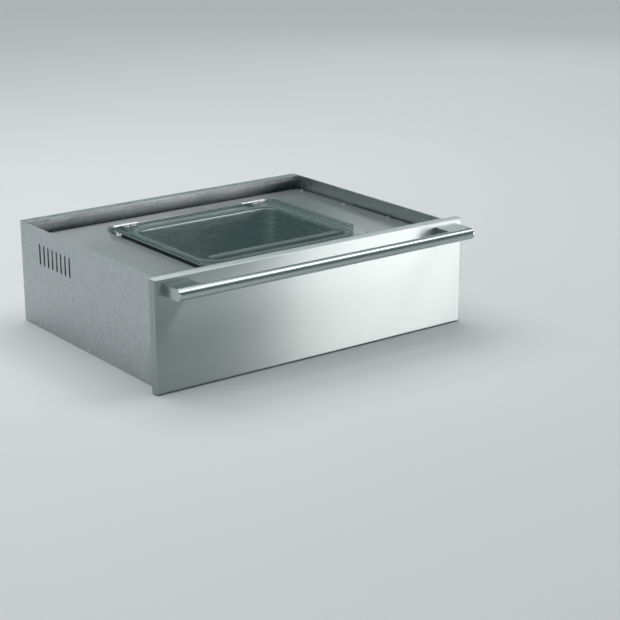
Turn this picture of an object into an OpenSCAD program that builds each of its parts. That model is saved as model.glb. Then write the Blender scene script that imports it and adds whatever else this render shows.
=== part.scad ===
// Built-in vacuum sealing drawer with a bar handle: front, housing, ball slides, drawer tub,
// vacuum chamber with a glass lid, seal bar, pump and electrics.
// Millimetres. X is the width, the front faces -Y, Z is up.
// The origin is the centre of the base tray's bottom face.

/* [Drawer front] */
// Width of the front panel
front_w = 757; // [740:1:800]
// Height of the front panel
front_h = 226; // [216:1:250]
// Thickness of the front panel
front_t = 20; // [16:1:26]
// Height of the panel's lower edge above the base
front_lift = 2; // [0:0.5:4]
// How far the panel stands past the housing on each side
side_overhang = 20.5; // [18:0.5:24]
// How far the panel stands above the housing
top_overhang = 6; // [3:0.5:10]
// Gap between the housing's front flanges and the closed panel
front_gap = 3; // [2:0.5:6]
// Outer radius of the folded panel edges
edge_r = 3; // [2:0.5:5]
// Thickness of the stainless skin
skin_t = 1.2; // [0.8:0.1:1.6]
// Thickness of the plate that closes the panel's back
backplate_t = 1.5; // [1:0.1:2]
// How far the stiffening channel reaches below the handle's axis
stiffener_drop = 17; // [15:0.5:30]
// Gap above the stiffening channel
stiffener_gap = 1.8; // [0.5:0.1:3]

/* [Handle] */
// Outer diameter of the handle tube
tube_d = 24; // [20:1:28]
// Wall of the handle tube
tube_wall = 2; // [1.5:0.1:2.5]
// Distance from the panel's face to the tube's axis
handle_reach = 48; // [40:1:60]
// Distance from the panel's top edge down to the tube's axis
handle_drop = 20; // [19:0.5:30]
// Distance from the panel's side to the end of the bar
handle_inset = 18; // [10:1:40]
// Length of each handle bracket along the bar
bracket_w = 56; // [40:1:80]
// How far the bracket's horns stop short of the tube's axis
horn_gap = 4; // [3:0.5:6]
// Thickness of the flush cap on each end of the tube
cap_t = 2; // [1:0.5:4]
// Length of the plug inside each end of the tube
plug_l = 54; // [48:1:80]
// Spacing of the two screws in each bracket
handle_screw_gap = 28; // [20:1:36]
// Diameter of the handle screws
handle_screw_d = 5; // [4:0.5:6]

/* [Housing] */
// Depth of the housing
chassis_d = 548; // [535:1:600]
// Thickness of the housing and tub sheet
sheet = 1.5; // [1.2:0.1:2]
// How far the front flanges end inside the panel's edge
flange_setback = 3.5; // [2:0.5:6]
// Diameter of the cabinet screw holes
cabinet_hole_d = 4.5; // [4:0.1:6]
// Height of the lower cabinet screw hole
cabinet_hole_z = 40; // [30:1:60]
// Spacing of the cabinet screw holes up each flange
cabinet_hole_rise = 142; // [120:1:160]
// Distance from the flange's outer edge to its screw holes
cabinet_hole_edge = 8; // [6:0.5:9]
// Height of the tie rails
rail_h = 11; // [8:0.5:13]
// Depth of the tie rails
rail_d = 20; // [16:1:26]
// Diameter of the rivet shanks
rivet_d = 4; // [3.2:0.2:4.8]
// Free space behind the tub
rear_space = 28; // [26:0.5:40]
// Cable bore of the mains gland
cable_bore_d = 7; // [6:0.5:9]
// Distance from the housing's left side to the mains gland
gland_inset = 143; // [100:1:160]
// Height of the mains gland
gland_z = 70; // [60:5:90]

/* [Slides] */
// Gap behind the slides
slide_rear_gap = 44; // [30:1:60]
// Height of the outer slide member
slide_h = 46; // [44:1:56]
// Thickness of a whole slide
slide_t = 12.7; // [12.5:0.1:14]
// Height of the slide's centre line
slide_z = 96; // [80:1:120]
// Gap from the housing's front to the slides
slide_setback = 4; // [2:1:10]
// Travel of the drawer
drawer_travel = 450; // [400:10:460]
// Sheet thickness of the slide members
race_t = 1.2; // [1:0.1:1.4]
// Thickness of the middle member's flanges
mid_flange_t = 1.8; // [1.6:0.1:2.2]
// Diameter of the bearing balls
ball_d = 4; // [3.8:0.1:4.4]
// Depth of the ball grooves
groove_depth = 0.3; // [0.2:0.05:0.35]
// Play of a ball in its grooves
ball_play = 0.1; // [0.05:0.01:0.12]
// Balls in each row of a cage
ball_count = 8; // [4:1:12]

/* [Tub and deck] */
// Height of the tub's floor above the base
tub_lift = 16; // [12:0.5:20]
// Width of the tub's top flanges
tub_flange = 5; // [4.5:0.5:6]
// Height of the deck's side lips
deck_lip = 10; // [6:1:20]
// Free height between the closed lid and the tie rails
lid_air = 5; // [4:0.5:8]
// How far the touch control glass is wider than the chamber
control_over = 80; // [0:10:160]
// Depth of the touch control glass
control_d = 44; // [36:1:46]
// Thickness of the touch control glass
control_t = 4; // [3:0.5:5]

/* [Chamber and lid] */
// Inside width of the vacuum chamber
chamber_w = 350; // [320:5:350]
// Distance from the glass lid's rear edge to the tub's back
rear_shelf = 90; // [80:1:100]
// Inside height of the vacuum chamber
chamber_h = 106; // [90:1:112]
// Inside corner radius of the chamber
chamber_r = 28; // [20:1:40]
// Wall of the deep-drawn chamber
chamber_wall = 1.5; // [1:0.1:2]
// Width of the chamber's rim
rim_w = 18; // [15:1:19]
// Height of the silicone seal on the rim
seal_h = 4.5; // [3.5:0.5:6]
// Width of the silicone seal
seal_w = 10; // [8:1:12]
// Gap from the chamber's mouth to the seal
seal_offset = 4; // [2:0.5:5]
// How far the glass lid reaches past the chamber's rim at the sides
lid_side_over = 22; // [12:1:40]
// How far the glass lid reaches past the chamber's rim at the front
lid_front_over = 22; // [12:1:26]
// Thickness of the glass lid
lid_t = 8; // [6:0.5:10]
// Corner radius of the glass lid
lid_r = 18; // [10:1:30]
// Distance from the housing's front to the lid's front edge
lid_setback = 60; // [58:1:66]

/* [Lid hinge] */
// Diameter of the hinge shaft
shaft_d = 8; // [6:0.5:8]
// Outer diameter of the hinge knuckles
knuckle_d = 13; // [12:0.5:13]
// Running clearance of the arms on the shaft, radial
shaft_play = 0.05; // [0.03:0.01:0.09]
// Distance from the glass edge back to the hinge axis
hinge_back = 12; // [11:0.5:14]
// Height of the hinge axis above the underside of the glass
hinge_rise = 1.5; // [1:0.25:2]
// Distance from the glass lid's side to the middle of each hinge arm
arm_inset = 50; // [35:1:65]
// Width of each hinge arm
arm_w = 30; // [24:1:36]
// Thickness of the arm's plate under the glass
arm_t = 4; // [3:0.5:4]
// How far the arm's plate reaches under the glass
arm_reach = 21; // [18:0.5:21]

/* [Seal bar] */
// Gap from each end of the seal bar to the chamber's wall
bar_end_gap = 15; // [13:1:40]
// Width of the seal bar
bar_w = 18; // [14:1:20]
// Height of the seal bar
bar_h = 26; // [20:1:30]
// Distance from the chamber's front wall to the bar's middle
bar_setback = 22; // [18:1:30]
// Lift of the seal bar
bar_lift = 6; // [4:0.5:8]
// Height of the silicone counter bar under the lid
counter_h = 12; // [8:1:14]
// Diameter of the lifting pistons
piston_d = 10; // [8:1:12]
// Distance from the seal bar's end to the middle of each piston
piston_inset = 40; // [20:5:70]
// Height of the piston sleeves
sleeve_h = 40; // [30:1:44]

/* [Pump and electrics] */
// Air gap behind the pump's cowl
cowl_gap = 16.5; // [10:0.5:24]
// Height of the pump's axis above its base plate
pump_axis_h = 52; // [50:1:56]
// Radius of the motor's body
motor_r = 44; // [36:1:46]
// Length of the motor's body
motor_l = 98; // [80:1:100]
// Diameter of the motor's shaft
motor_shaft_d = 12; // [8:0.5:14]
// Gap from the fan wheel to its cowl
fan_gap = 3.5; // [2:0.5:8]
// Blades on the fan wheel
fan_blades = 7; // [5:1:11]
// Height of the rubber mounts
mount_h = 12; // [8:1:16]
// Distance from the chamber's right wall to the suction port
port_inset = 45; // [40:1:55]
// Outer diameter of the suction hose
hose_d = 14; // [12:0.5:16]
// Bore of the suction hose
hose_bore = 9; // [7:0.5:10]
// Distance from the chamber's left wall to the vent valve
vent_inset = 85; // [65:1:95]
// Radius of the toroidal transformer
toroid_r = 46; // [38:1:50]
// Height of the toroidal transformer
toroid_h = 44; // [36:1:50]

/* [Hidden] */
$fn = 64;

// Clearances
fit_gap = 0.05;
seat_gap = 0.3;
side_play = 0.5;
hole_play = 0.25;
cut = 1;

// Levels, from the base upwards
front_top = front_lift + front_h;
chassis_h = front_top - top_overhang;
rail_z = chassis_h - rail_h;
glass_top = rail_z - lid_air;
glass_z = glass_top - lid_t;
rim_top = glass_z - seal_h;
deck_z = rim_top - sheet;
tub_top = deck_z - sheet;
floor_z = tub_lift + sheet;
chamber_floor = rim_top - chamber_h;
chamber_under = chamber_floor - chamber_wall;
handle_z = front_top - handle_drop;
lip_h = tub_lift - 2;

// Places across the width, from the middle outwards
chassis_x = front_w / 2 - side_overhang;
tray_x = chassis_x - sheet;
flange_x = front_w / 2 - flange_setback;
tub_x = tray_x - slide_t;
deck_x = tub_x + tub_flange + sheet;
hole_x = flange_x - cabinet_hole_edge;
bar_half = front_w / 2 - handle_inset;
bracket_x = bar_half - bracket_w / 2;

// Places along the depth, from the housing's front backwards
panel_back = -front_gap;
panel_front = panel_back - front_t;
handle_y = panel_front - handle_reach;
plate_inside = panel_back - backplate_t;
tub_y1 = chassis_d - rear_space;
back_y = chassis_d - sheet;
flange_y = back_y - sheet;
lid_rear_over = arm_reach + 1;
lid_w = chamber_w + 2 * rim_w + 2 * lid_side_over;
lid_back = tub_y1 - rear_shelf;
lid_l = lid_back - lid_setback;
chamber_l = lid_l - 2 * rim_w - lid_front_over - lid_rear_over;
chamber_y = lid_setback + lid_front_over + rim_w + chamber_l / 2;
bar_y = chamber_y - chamber_l / 2 + bar_setback;
pivot_y = lid_back + hinge_back;
pivot_z = glass_z + hinge_rise;
control_y = (lid_setback + panel_back) / 2 + 1;

// Slides: lengths, then heights of the races from the slide's centre line
slide_l = chassis_d - slide_setback - slide_rear_gap;
race_gap = ball_d - 2 * groove_depth + 2 * ball_play;
outer_race = slide_h / 2 - race_t;
mid_outer = outer_race - race_gap;
mid_inner = mid_outer - mid_flange_t;
inner_race = mid_inner - race_gap;
inner_hollow = inner_race - race_t;
outer_ball_w = outer_race - race_gap / 2;
inner_ball_w = mid_inner - race_gap / 2;
// Slide section: depths from the side plate
cage_t = 0.6;
cage_gap = 0.5;
outer_cage_u = race_t + cage_gap;
mid_u = outer_cage_u + cage_t + cage_gap;
inner_cage_u = mid_u + race_t + cage_gap;
inner_flange_u = inner_cage_u + cage_t + cage_gap;
cage_u1 = slide_t - race_t - 1.1;
ball_u = cage_u1 - ball_d / 2 - 0.8;
mid_u1 = slide_t - race_t - cage_gap;
outer_u1 = slide_t - 0.7;
cage_l = slide_l - drawer_travel / 2 - 25;
cage_y = slide_setback + (slide_l - cage_l) / 2;

// Fasteners
rivet_head_r = 4;
rivet_head_t = 1.2;
screw_r = 2;
screw_head_r = 3.8;
screw_head_t = 2.5;
lip_rivet_z = lip_h / 2 + 1;
rail_rivet_z = rail_z + rail_h / 2;
rivet_steps = [0.06, 0.34, 0.66, 0.94];
lip_rivet_steps = [0.12, 0.5, 0.88];
tab_rivet_steps = [0.35, 0.75];
back_rivet_x = tray_x * 0.7;
corner_tab = 15;
tab_rivet_x = tray_x - corner_tab / 2;
deck_screw_steps = [0.04, 0.35, 0.65, 0.96];

// Mains entry and rear stops
box_wall = 2;
box_d = 22;
box_w = 70;
box_h = 60;
gland_r = 8;
gland_in = 9;
gland_out = 20;
gland_x = gland_inset - chassis_x;
bumper_x = tub_x - 44;
bumper_z = lip_h + 46;

// Front screws and the slotted angles behind them
adjuster_w = 42;
adjuster_t = 2;
adjuster_z = [slide_z + slide_h / 2 + 3, tub_top - 20];
adjuster_screw_z = [adjuster_z[0] + 10, adjuster_z[1] - 10];
adjuster_screw_x = tub_x - sheet - 26;
plain_screw_x = chamber_w / 2 - 55;
tub_rim = 12;

// Lid hinge and controls
arm_x = lid_w / 2 - arm_inset;
ear_w = 15;
ear_d = 5;
hinge_foot = 8;
foot_y = [pivot_y + 8, pivot_y + 20];
control_w = chamber_w + control_over;
control_r = 6;

// Vacuum parts
port_r = 8;
vent_r = 5;
port_x = chamber_w / 2 - port_inset;
vent_x = vent_inset - chamber_w / 2;
bar_l = chamber_w - 2 * bar_end_gap;
bar_top = glass_z - counter_h - bar_lift - seat_gap;
strip_t = 1;
strip_w = 6;
piston_x = bar_l / 2 - piston_inset;
sleeve_floor = 4;
counter_foot_w = 16;
counter_w = 10;
plate_z = floor_z + mount_h;
plate_t = 2;
crank_x = 40;
crank_y = 42;
crank_top = 40;
head_r = 36;
head_t = 16;
cowl_l = 24;
cowl_wall = 2.5;
fan_r = motor_r - cowl_wall - fan_gap;
pump_x = (chamber_w / 2 + chamber_wall + tub_x - sheet) / 2;
pump_y = tub_y1 - sheet - cowl_gap - cowl_l - motor_l - crank_y;
pump_z = plate_z + plate_t + pump_axis_h;
port_y = pump_y;
port_nut_h = 5;
port_nut_r = 13;
port_block_w = 22;
port_block_h = 26;
valve_w = 40;
valve_d = 32;
valve_h = 40;
coil_r = 15;
coil_l = 36;
coil_drop = 22;
inlet_z = chamber_under - port_block_h / 2;
inlet_x = pump_x - crank_x - head_t;
nipple_r = hose_bore / 2 - fit_gap;
nipple_l = 12;
motor_y = pump_y + crank_y;
base_w = 120;
base_l = 200;
base_y = pump_y - crank_y - 6;
mount_inset = 11;
mount_r = 9;
mount_stud_r = 3;

// Power board
board_w = 130;
board_l = 200;
board_t = 1.6;
board_side = 18;
board_y = 60;
board_lift = 10;
board_post_inset = 8;

// Basic shapes

module from_front() translate([0, -chassis_d / 2, 0]) children();

module slab(x0, x1, y0, y1, z0, z1) {
    translate([x0, y0, z0]) cube([x1 - x0, y1 - y0, z1 - z0]);
}

module rod_x(r, x0, x1, y, z) {
    translate([x0, y, z]) rotate([0, 90, 0]) cylinder(r = r, h = x1 - x0);
}

module rod_y(r, y0, y1, x, z) {
    translate([x, y0, z]) rotate([-90, 0, 0]) cylinder(r = r, h = y1 - y0);
}

module rod_z(r, z0, z1, x, y) {
    translate([x, y, z0]) cylinder(r = r, h = z1 - z0);
}

module round_rect(w, l, r) {
    square([w - 2 * r, l], center = true);
    square([w, l - 2 * r], center = true);
    for (sx = [-1, 1], sy = [-1, 1])
        translate([sx * (w / 2 - r), sy * (l / 2 - r)]) circle(r);
}

module round_block(w, l, r, z0, z1) {
    translate([0, 0, z0]) linear_extrude(z1 - z0) round_rect(w, l, r);
}

module hex_z(r, z0, z1, x, y) {
    translate([x, y, z0]) cylinder(r = r, h = z1 - z0, $fn = 6);
}

// A pan head with a hexagon socket; the head sits on z = 0 and the shank hangs below
module pan_screw(shank_r, shank_l, head_r, head_t) {
    difference() {
        union() {
            cylinder(r = head_r, h = head_t);
            translate([0, 0, -shank_l]) cylinder(r = shank_r, h = shank_l + head_t / 2);
        }
        translate([0, 0, head_t * 0.4]) cylinder(r = head_r * 0.5, h = head_t, $fn = 6);
    }
}

// Front panel

module nosed(depth, height, r) {
    translate([r, -height / 2]) square([depth - r, height]);
    translate([0, r - height / 2]) square([depth, height - 2 * r]);
    for (s = [-1, 1]) translate([r, s * (height / 2 - r)]) circle(r);
}

module panel_block(inset, r, back) {
    y_face = panel_front + inset;
    depth = back - y_face;
    intersection() {
        translate([-front_w / 2, y_face, front_lift + front_h / 2]) rotate([90, 0, 90])
            linear_extrude(front_w) nosed(depth, front_h - 2 * inset, r);
        translate([0, y_face, front_lift]) rotate([0, 0, 90])
            linear_extrude(front_h) nosed(depth, front_w - 2 * inset, r);
    }
}

module at_handle_screws() {
    for (s = [-1, 1], t = [-1, 1])
        translate([s * bracket_x + t * handle_screw_gap / 2, 0, handle_z]) children();
}

module at_front_screws() {
    for (s = [-1, 1], z = adjuster_screw_z) translate([s * plain_screw_x, 0, z]) children();
}

module at_adjuster_screws() {
    for (s = [-1, 1], z = adjuster_screw_z)
        translate([s * adjuster_screw_x, 0, z]) children();
}

module front_skin() {
    color([0.79, 0.82, 0.82]) from_front() difference() {
        panel_block(0, edge_r, panel_back);
        panel_block(skin_t, edge_r - skin_t, panel_back + cut);
        at_handle_screws() rod_y(handle_screw_d / 2 + hole_play, panel_front - cut,
            panel_front + 2 * skin_t, 0, 0);
    }
}

module front_backplate() {
    color([0.66, 0.68, 0.69]) from_front() difference() {
        slab(skin_t - front_w / 2, front_w / 2 - skin_t, plate_inside, panel_back,
            front_lift + skin_t, front_top - skin_t);
        at_handle_screws() rod_y(handle_screw_d + 2, plate_inside - cut, panel_back + cut, 0, 0);
        at_front_screws() rod_y(screw_r + fit_gap, plate_inside - cut, panel_back + cut, 0, 0);
        at_adjuster_screws() rod_y(screw_r + fit_gap, plate_inside - cut, panel_back + cut, 0, 0);
    }
}

module front_stiffener() {
    x1 = bar_half + 4;
    y0 = panel_front + skin_t;
    z0 = handle_z - stiffener_drop;
    z1 = front_top - skin_t - stiffener_gap;
    color([0.66, 0.68, 0.69]) from_front() difference() {
        slab(-x1, x1, y0, plate_inside, z0, z1);
        slab(-x1 - cut, x1 + cut, y0 + sheet, plate_inside + cut, z0 + sheet, z1 - sheet);
        at_handle_screws() rod_y(handle_screw_d / 2 + hole_play, y0 - cut, y0 + 2 * sheet, 0, 0);
    }
}

// Handle

module handle_tube() {
    color([0.86, 0.89, 0.89]) from_front() difference() {
        rod_x(tube_d / 2, cap_t - bar_half, bar_half - cap_t, handle_y, handle_z);
        rod_x(tube_d / 2 - tube_wall, -bar_half, bar_half, handle_y, handle_z);
        at_handle_screws() rod_y(handle_screw_d / 2 + hole_play, handle_y,
            handle_y + tube_d, 0, 0);
    }
}

module handle_plugs() {
    plug_r = tube_d / 2 - tube_wall - fit_gap;
    color([0.82, 0.85, 0.85]) from_front() difference() {
        for (s = [0, 1]) mirror([s, 0, 0]) {
            rod_x(tube_d / 2, bar_half - cap_t, bar_half, handle_y, handle_z);
            rod_x(plug_r, bar_half - cap_t - plug_l, bar_half - cap_t, handle_y, handle_z);
        }
        at_handle_screws() rod_y(handle_screw_d / 2 + fit_gap, handle_y - 5,
            handle_y + tube_d, 0, 0);
    }
}

module handle_bracket() {
    color([0.62, 0.66, 0.66]) from_front() difference() {
        slab(bar_half - bracket_w, bar_half, handle_y + horn_gap, panel_front,
            handle_z - tube_d / 2, handle_z + tube_d / 2);
        rod_x(tube_d / 2 + fit_gap, bar_half - bracket_w - cut, bar_half + cut,
            handle_y, handle_z);
        at_handle_screws() rod_y(handle_screw_d / 2 + hole_play, handle_y,
            panel_front + cut, 0, 0);
    }
}

module handle_bracket_right() handle_bracket();
module handle_bracket_left() mirror([1, 0, 0]) handle_bracket();

module handle_screws() {
    seat = panel_front + skin_t + sheet;
    color([0.55, 0.56, 0.57]) from_front() at_handle_screws()
        translate([0, seat, 0]) rotate([-90, 0, 0])
            pan_screw(handle_screw_d / 2, seat - handle_y + 3, handle_screw_d * 0.9, 3);
}

// Front fastening

module front_adjusters() {
    x1 = tub_x - sheet;
    y0 = panel_back + sheet;
    color([0.66, 0.68, 0.69]) from_front() difference() {
        for (s = [0, 1]) mirror([s, 0, 0]) {
            slab(x1 - adjuster_w, x1, y0, y0 + adjuster_t, adjuster_z[0], adjuster_z[1]);
            slab(x1 - adjuster_t, x1, y0, y0 + adjuster_w, adjuster_z[0], adjuster_z[1]);
        }
        at_adjuster_screws() rod_y(screw_r + fit_gap, y0 - cut, y0 + adjuster_t + cut, 0, 0);
    }
}

module at_slide_bolts() {
    for (k = rivet_steps) translate([0, slide_setback + k * slide_l, slide_z]) children();
}

module tub_screws() {
    y0 = panel_back + sheet;
    bolt_l = sheet + race_t;
    front_l = y0 - plate_inside;
    color([0.75, 0.75, 0.77]) from_front() {
        at_front_screws() translate([0, y0, 0]) rotate([-90, 0, 0])
            pan_screw(screw_r, front_l, screw_head_r, screw_head_t);
        at_adjuster_screws() translate([0, y0 + adjuster_t, 0]) rotate([-90, 0, 0])
            pan_screw(screw_r, front_l + adjuster_t, screw_head_r, screw_head_t);
        for (s = [0, 1]) mirror([s, 0, 0]) at_slide_bolts()
            translate([tub_x - sheet, 0, 0]) rotate([0, -90, 0])
                pan_screw(screw_r, bolt_l, screw_head_r, screw_head_t);
    }
}

// Housing

module base_tray() {
    color([0.68, 0.7, 0.71]) from_front() difference() {
        union() {
            slab(-tray_x, tray_x, 0, back_y, 0, sheet);
            slab(-tray_x, tray_x, 0, sheet, 0, lip_h);
            slab(-tray_x, tray_x, flange_y, back_y, 0, lip_h);
            for (s = [0, 1]) mirror([s, 0, 0])
                slab(tray_x - sheet, tray_x, 0, back_y, 0, lip_h);
        }
        for (s = [0, 1], k = lip_rivet_steps) mirror([s, 0, 0])
            rod_x(rivet_d / 2 + fit_gap, tray_x - sheet - cut, tray_x + cut,
                k * chassis_d, lip_rivet_z);
        for (k = [-1, 0, 1]) rod_y(rivet_d / 2 + fit_gap, flange_y - cut, back_y + cut,
            k * back_rivet_x, lip_rivet_z);
    }
}

module vent_slot_x(x0, x1, y, z, w, l) {
    slab(x0, x1, y - w / 2, y + w / 2, z - l / 2 + w / 2, z + l / 2 - w / 2);
    for (s = [-1, 1]) rod_x(w / 2, x0, x1, y, z + s * (l - w) / 2);
}

module vent_slot_y(y0, y1, x, z, w, l) {
    slab(x - w / 2, x + w / 2, y0, y1, z - l / 2 + w / 2, z + l / 2 - w / 2);
    for (s = [-1, 1]) rod_y(w / 2, y0, y1, x, z + s * (l - w) / 2);
}

module side_plate() {
    vent_z = (slide_z + slide_h / 2 + rail_z) / 2;
    color([0.7, 0.72, 0.73]) from_front() difference() {
        union() {
            slab(tray_x, chassis_x, 0, chassis_d, 0, chassis_h);
            slab(chassis_x, flange_x, 0, sheet, 0, chassis_h);
            slab(tray_x - corner_tab, tray_x, flange_y, back_y, tub_lift, rail_z - 2);
        }
        for (t = [0, 1]) rod_y(cabinet_hole_d / 2, -cut, sheet + cut, hole_x,
            cabinet_hole_z + t * cabinet_hole_rise);
        at_slide_bolts() rod_x(rivet_d / 2 + fit_gap, tray_x - cut, chassis_x + cut, 0, 0);
        for (k = lip_rivet_steps) rod_x(rivet_d / 2 + fit_gap, tray_x - cut, chassis_x + cut,
            k * chassis_d, lip_rivet_z);
        for (y = [rail_d / 2, back_y - rail_d / 2])
            rod_x(rivet_d / 2 + fit_gap, tray_x - cut, chassis_x + cut, y, rail_rivet_z);
        for (t = tab_rivet_steps) rod_y(rivet_d / 2 + fit_gap, flange_y - cut, back_y + cut,
            tab_rivet_x, t * chassis_h);
        for (k = [0:7]) vent_slot_x(tray_x - cut, chassis_x + cut, chassis_d * 0.62 + k * 18,
            vent_z, 6, 44);
    }
}

module side_plate_right() side_plate();
module side_plate_left() mirror([1, 0, 0]) side_plate();

module back_plate() {
    color([0.7, 0.72, 0.73]) from_front() difference() {
        slab(-tray_x, tray_x, back_y, chassis_d, 0, chassis_h);
        rod_y(gland_r + fit_gap, back_y - cut, chassis_d + cut, gland_x, gland_z);
        for (k = [-1, 0, 1]) rod_y(rivet_d / 2 + fit_gap, back_y - cut, chassis_d + cut,
            k * back_rivet_x, lip_rivet_z);
        for (s = [-1, 1], t = tab_rivet_steps)
            rod_y(rivet_d / 2 + fit_gap, back_y - cut, chassis_d + cut,
                s * tab_rivet_x, t * chassis_h);
        for (k = [-6:6]) vent_slot_y(back_y - cut, chassis_d + cut, pump_x - 90 + k * 16,
            chassis_h * 0.55, 6, 60);
    }
}

module tie_rail(y0) {
    color([0.68, 0.7, 0.71]) from_front() difference() {
        slab(-tray_x, tray_x, y0, y0 + rail_d, rail_z, chassis_h);
        slab(sheet - tray_x, tray_x - sheet, y0 + sheet, y0 + rail_d - sheet,
            rail_z - cut, chassis_h - sheet);
        rod_x(rivet_d / 2 + fit_gap, -tray_x - cut, tray_x + cut, y0 + rail_d / 2, rail_rivet_z);
    }
}

module front_tie_rail() tie_rail(0);
module rear_tie_rail() tie_rail(back_y - rail_d);

module rivet(l) {
    translate([0, 0, -l]) cylinder(r = rivet_d / 2, h = l + rivet_head_t / 2);
    cylinder(r = rivet_head_r, h = rivet_head_t);
}

module housing_rivets() {
    color([0.72, 0.72, 0.74]) from_front() {
        for (s = [0, 1]) mirror([s, 0, 0]) {
            at_slide_bolts() translate([chassis_x, 0, 0]) rotate([0, 90, 0])
                rivet(sheet + race_t);
            for (k = lip_rivet_steps) translate([chassis_x, k * chassis_d, lip_rivet_z])
                rotate([0, 90, 0]) rivet(2 * sheet);
            for (y = [rail_d / 2, back_y - rail_d / 2])
                translate([chassis_x, y, rail_rivet_z]) rotate([0, 90, 0]) rivet(2 * sheet);
            for (t = tab_rivet_steps) translate([tab_rivet_x, chassis_d, t * chassis_h])
                rotate([-90, 0, 0]) rivet(2 * sheet);
        }
        for (k = [-1, 0, 1]) translate([k * back_rivet_x, chassis_d, lip_rivet_z])
            rotate([-90, 0, 0]) rivet(2 * sheet);
    }
}

// Mains entry and rear stops

module mains_gland() {
    color([0.1, 0.1, 0.11]) from_front() translate([gland_x, chassis_d, gland_z])
        rotate([-90, 0, 0]) difference() {
            union() {
                translate([0, 0, -sheet - gland_in])
                    cylinder(r = gland_r, h = sheet + gland_in + 2);
                cylinder(r = gland_r * 1.5, h = 6, $fn = 6);
                translate([0, 0, 5]) cylinder(r = gland_r + 1.8, h = gland_out - 7);
                translate([0, 0, gland_out - 3]) cylinder(r = gland_r, h = 3);
            }
            translate([0, 0, -sheet - gland_in - cut])
                cylinder(r = cable_bore_d / 2, h = sheet + gland_in + gland_out + 2 * cut);
        }
}

module gland_nut() {
    color([0.14, 0.14, 0.15]) from_front() translate([gland_x, back_y - 4, gland_z])
        rotate([-90, 0, 0]) difference() {
            cylinder(r = gland_r * 1.5, h = 4, $fn = 6);
            translate([0, 0, -cut]) cylinder(r = gland_r + fit_gap, h = 4 + 2 * cut);
        }
}

module terminal_box() {
    x0 = gland_x - box_w / 2;
    z0 = gland_z - box_h / 2;
    color([0.16, 0.16, 0.17]) from_front() difference() {
        slab(x0, x0 + box_w, back_y - box_d, back_y, z0, z0 + box_h);
        slab(x0 + box_wall, x0 + box_w - box_wall, back_y - box_d + box_wall, back_y + cut,
            z0 + box_wall, z0 + box_h - box_wall);
        rod_z(5, z0 - cut, z0 + box_wall + cut, x0 + box_w * 0.75, back_y - box_d / 2);
    }
}

module rear_bumpers() {
    reach = back_y - tub_y1 - seat_gap;
    color([0.09, 0.09, 0.09]) from_front() for (s = [-1, 1]) {
        rod_y(10, back_y - reach * 0.6, back_y, s * bumper_x, bumper_z);
        rod_y(7, back_y - reach, back_y - reach * 0.5, s * bumper_x, bumper_z);
    }
}

// Slides: sections are drawn in depth from the side plate and height from the centre line

module along_slide(y0, l) {
    from_front() translate([tray_x, y0 + l, slide_z]) rotate([90, 0, 0])
        linear_extrude(l) mirror([1, 0, 0]) children();
}

module channel(web_u, web_t, u0, u1, w0, w1) {
    translate([web_u, -w1]) square([web_t, 2 * w1]);
    for (s = [0, 1]) mirror([0, s, 0]) translate([u0, w0]) square([u1 - u0, w1 - w0]);
}

module grooves(w) {
    for (s = [-1, 1]) translate([ball_u, s * w]) circle(ball_d / 2 + ball_play);
}

module slide_outer() {
    color([0.74, 0.75, 0.77]) difference() {
        along_slide(slide_setback, slide_l) difference() {
            channel(0, race_t, 0, outer_u1, outer_race, slide_h / 2);
            grooves(outer_ball_w);
        }
        from_front() at_slide_bolts()
            rod_x(rivet_d / 2 + fit_gap, tray_x - race_t - cut, tray_x + cut, 0, 0);
    }
}

module slide_mid() {
    color([0.74, 0.75, 0.77]) along_slide(slide_setback, slide_l) difference() {
        channel(mid_u, race_t, mid_u, mid_u1, mid_inner, mid_outer);
        grooves(outer_ball_w);
        grooves(inner_ball_w);
    }
}

module slide_inner() {
    color([0.74, 0.75, 0.77]) difference() {
        along_slide(slide_setback, slide_l) difference() {
            channel(slide_t - race_t, race_t, inner_flange_u, slide_t, inner_hollow, inner_race);
            grooves(inner_ball_w);
        }
        from_front() at_slide_bolts()
            rod_x(screw_r + fit_gap, tub_x - cut, tub_x + race_t + cut, 0, 0);
    }
}

module at_balls(w) {
    for (m = [0, 1]) mirror([m, 0, 0]) from_front()
        for (s = [-1, 1], k = [0:ball_count - 1])
            translate([tray_x - ball_u, cage_y + (k + 0.5) * cage_l / ball_count,
                slide_z + s * w]) children();
}

module ball_cages(web_u, w) {
    color([0.86, 0.84, 0.76]) difference() {
        for (m = [0, 1]) mirror([m, 0, 0]) along_slide(cage_y, cage_l)
            channel(web_u, cage_t, web_u, cage_u1, w - cage_t / 2, w + cage_t / 2);
        at_balls(w) translate([0, 0, -ball_d / 2])
            cylinder(r = ball_d / 2 + ball_play, h = ball_d);
    }
}

module bearing_balls(w) {
    color([0.85, 0.86, 0.88]) at_balls(w) sphere(d = ball_d);
}

module slide_outer_right() slide_outer();
module slide_outer_left() mirror([1, 0, 0]) slide_outer();
module slide_mid_right() slide_mid();
module slide_mid_left() mirror([1, 0, 0]) slide_mid();
module slide_inner_right() slide_inner();
module slide_inner_left() mirror([1, 0, 0]) slide_inner();
module ball_cages_outer() ball_cages(outer_cage_u, outer_ball_w);
module ball_cages_inner() ball_cages(inner_cage_u, inner_ball_w);
module balls_outer() bearing_balls(outer_ball_w);
module balls_inner() bearing_balls(inner_ball_w);

// Tub and deck

module at_mounts() {
    for (s = [-1, 1], t = [0, 1])
        translate([pump_x + s * (base_w / 2 - mount_inset),
            base_y + mount_inset + t * (base_l - 2 * mount_inset), 0]) children();
}

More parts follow.
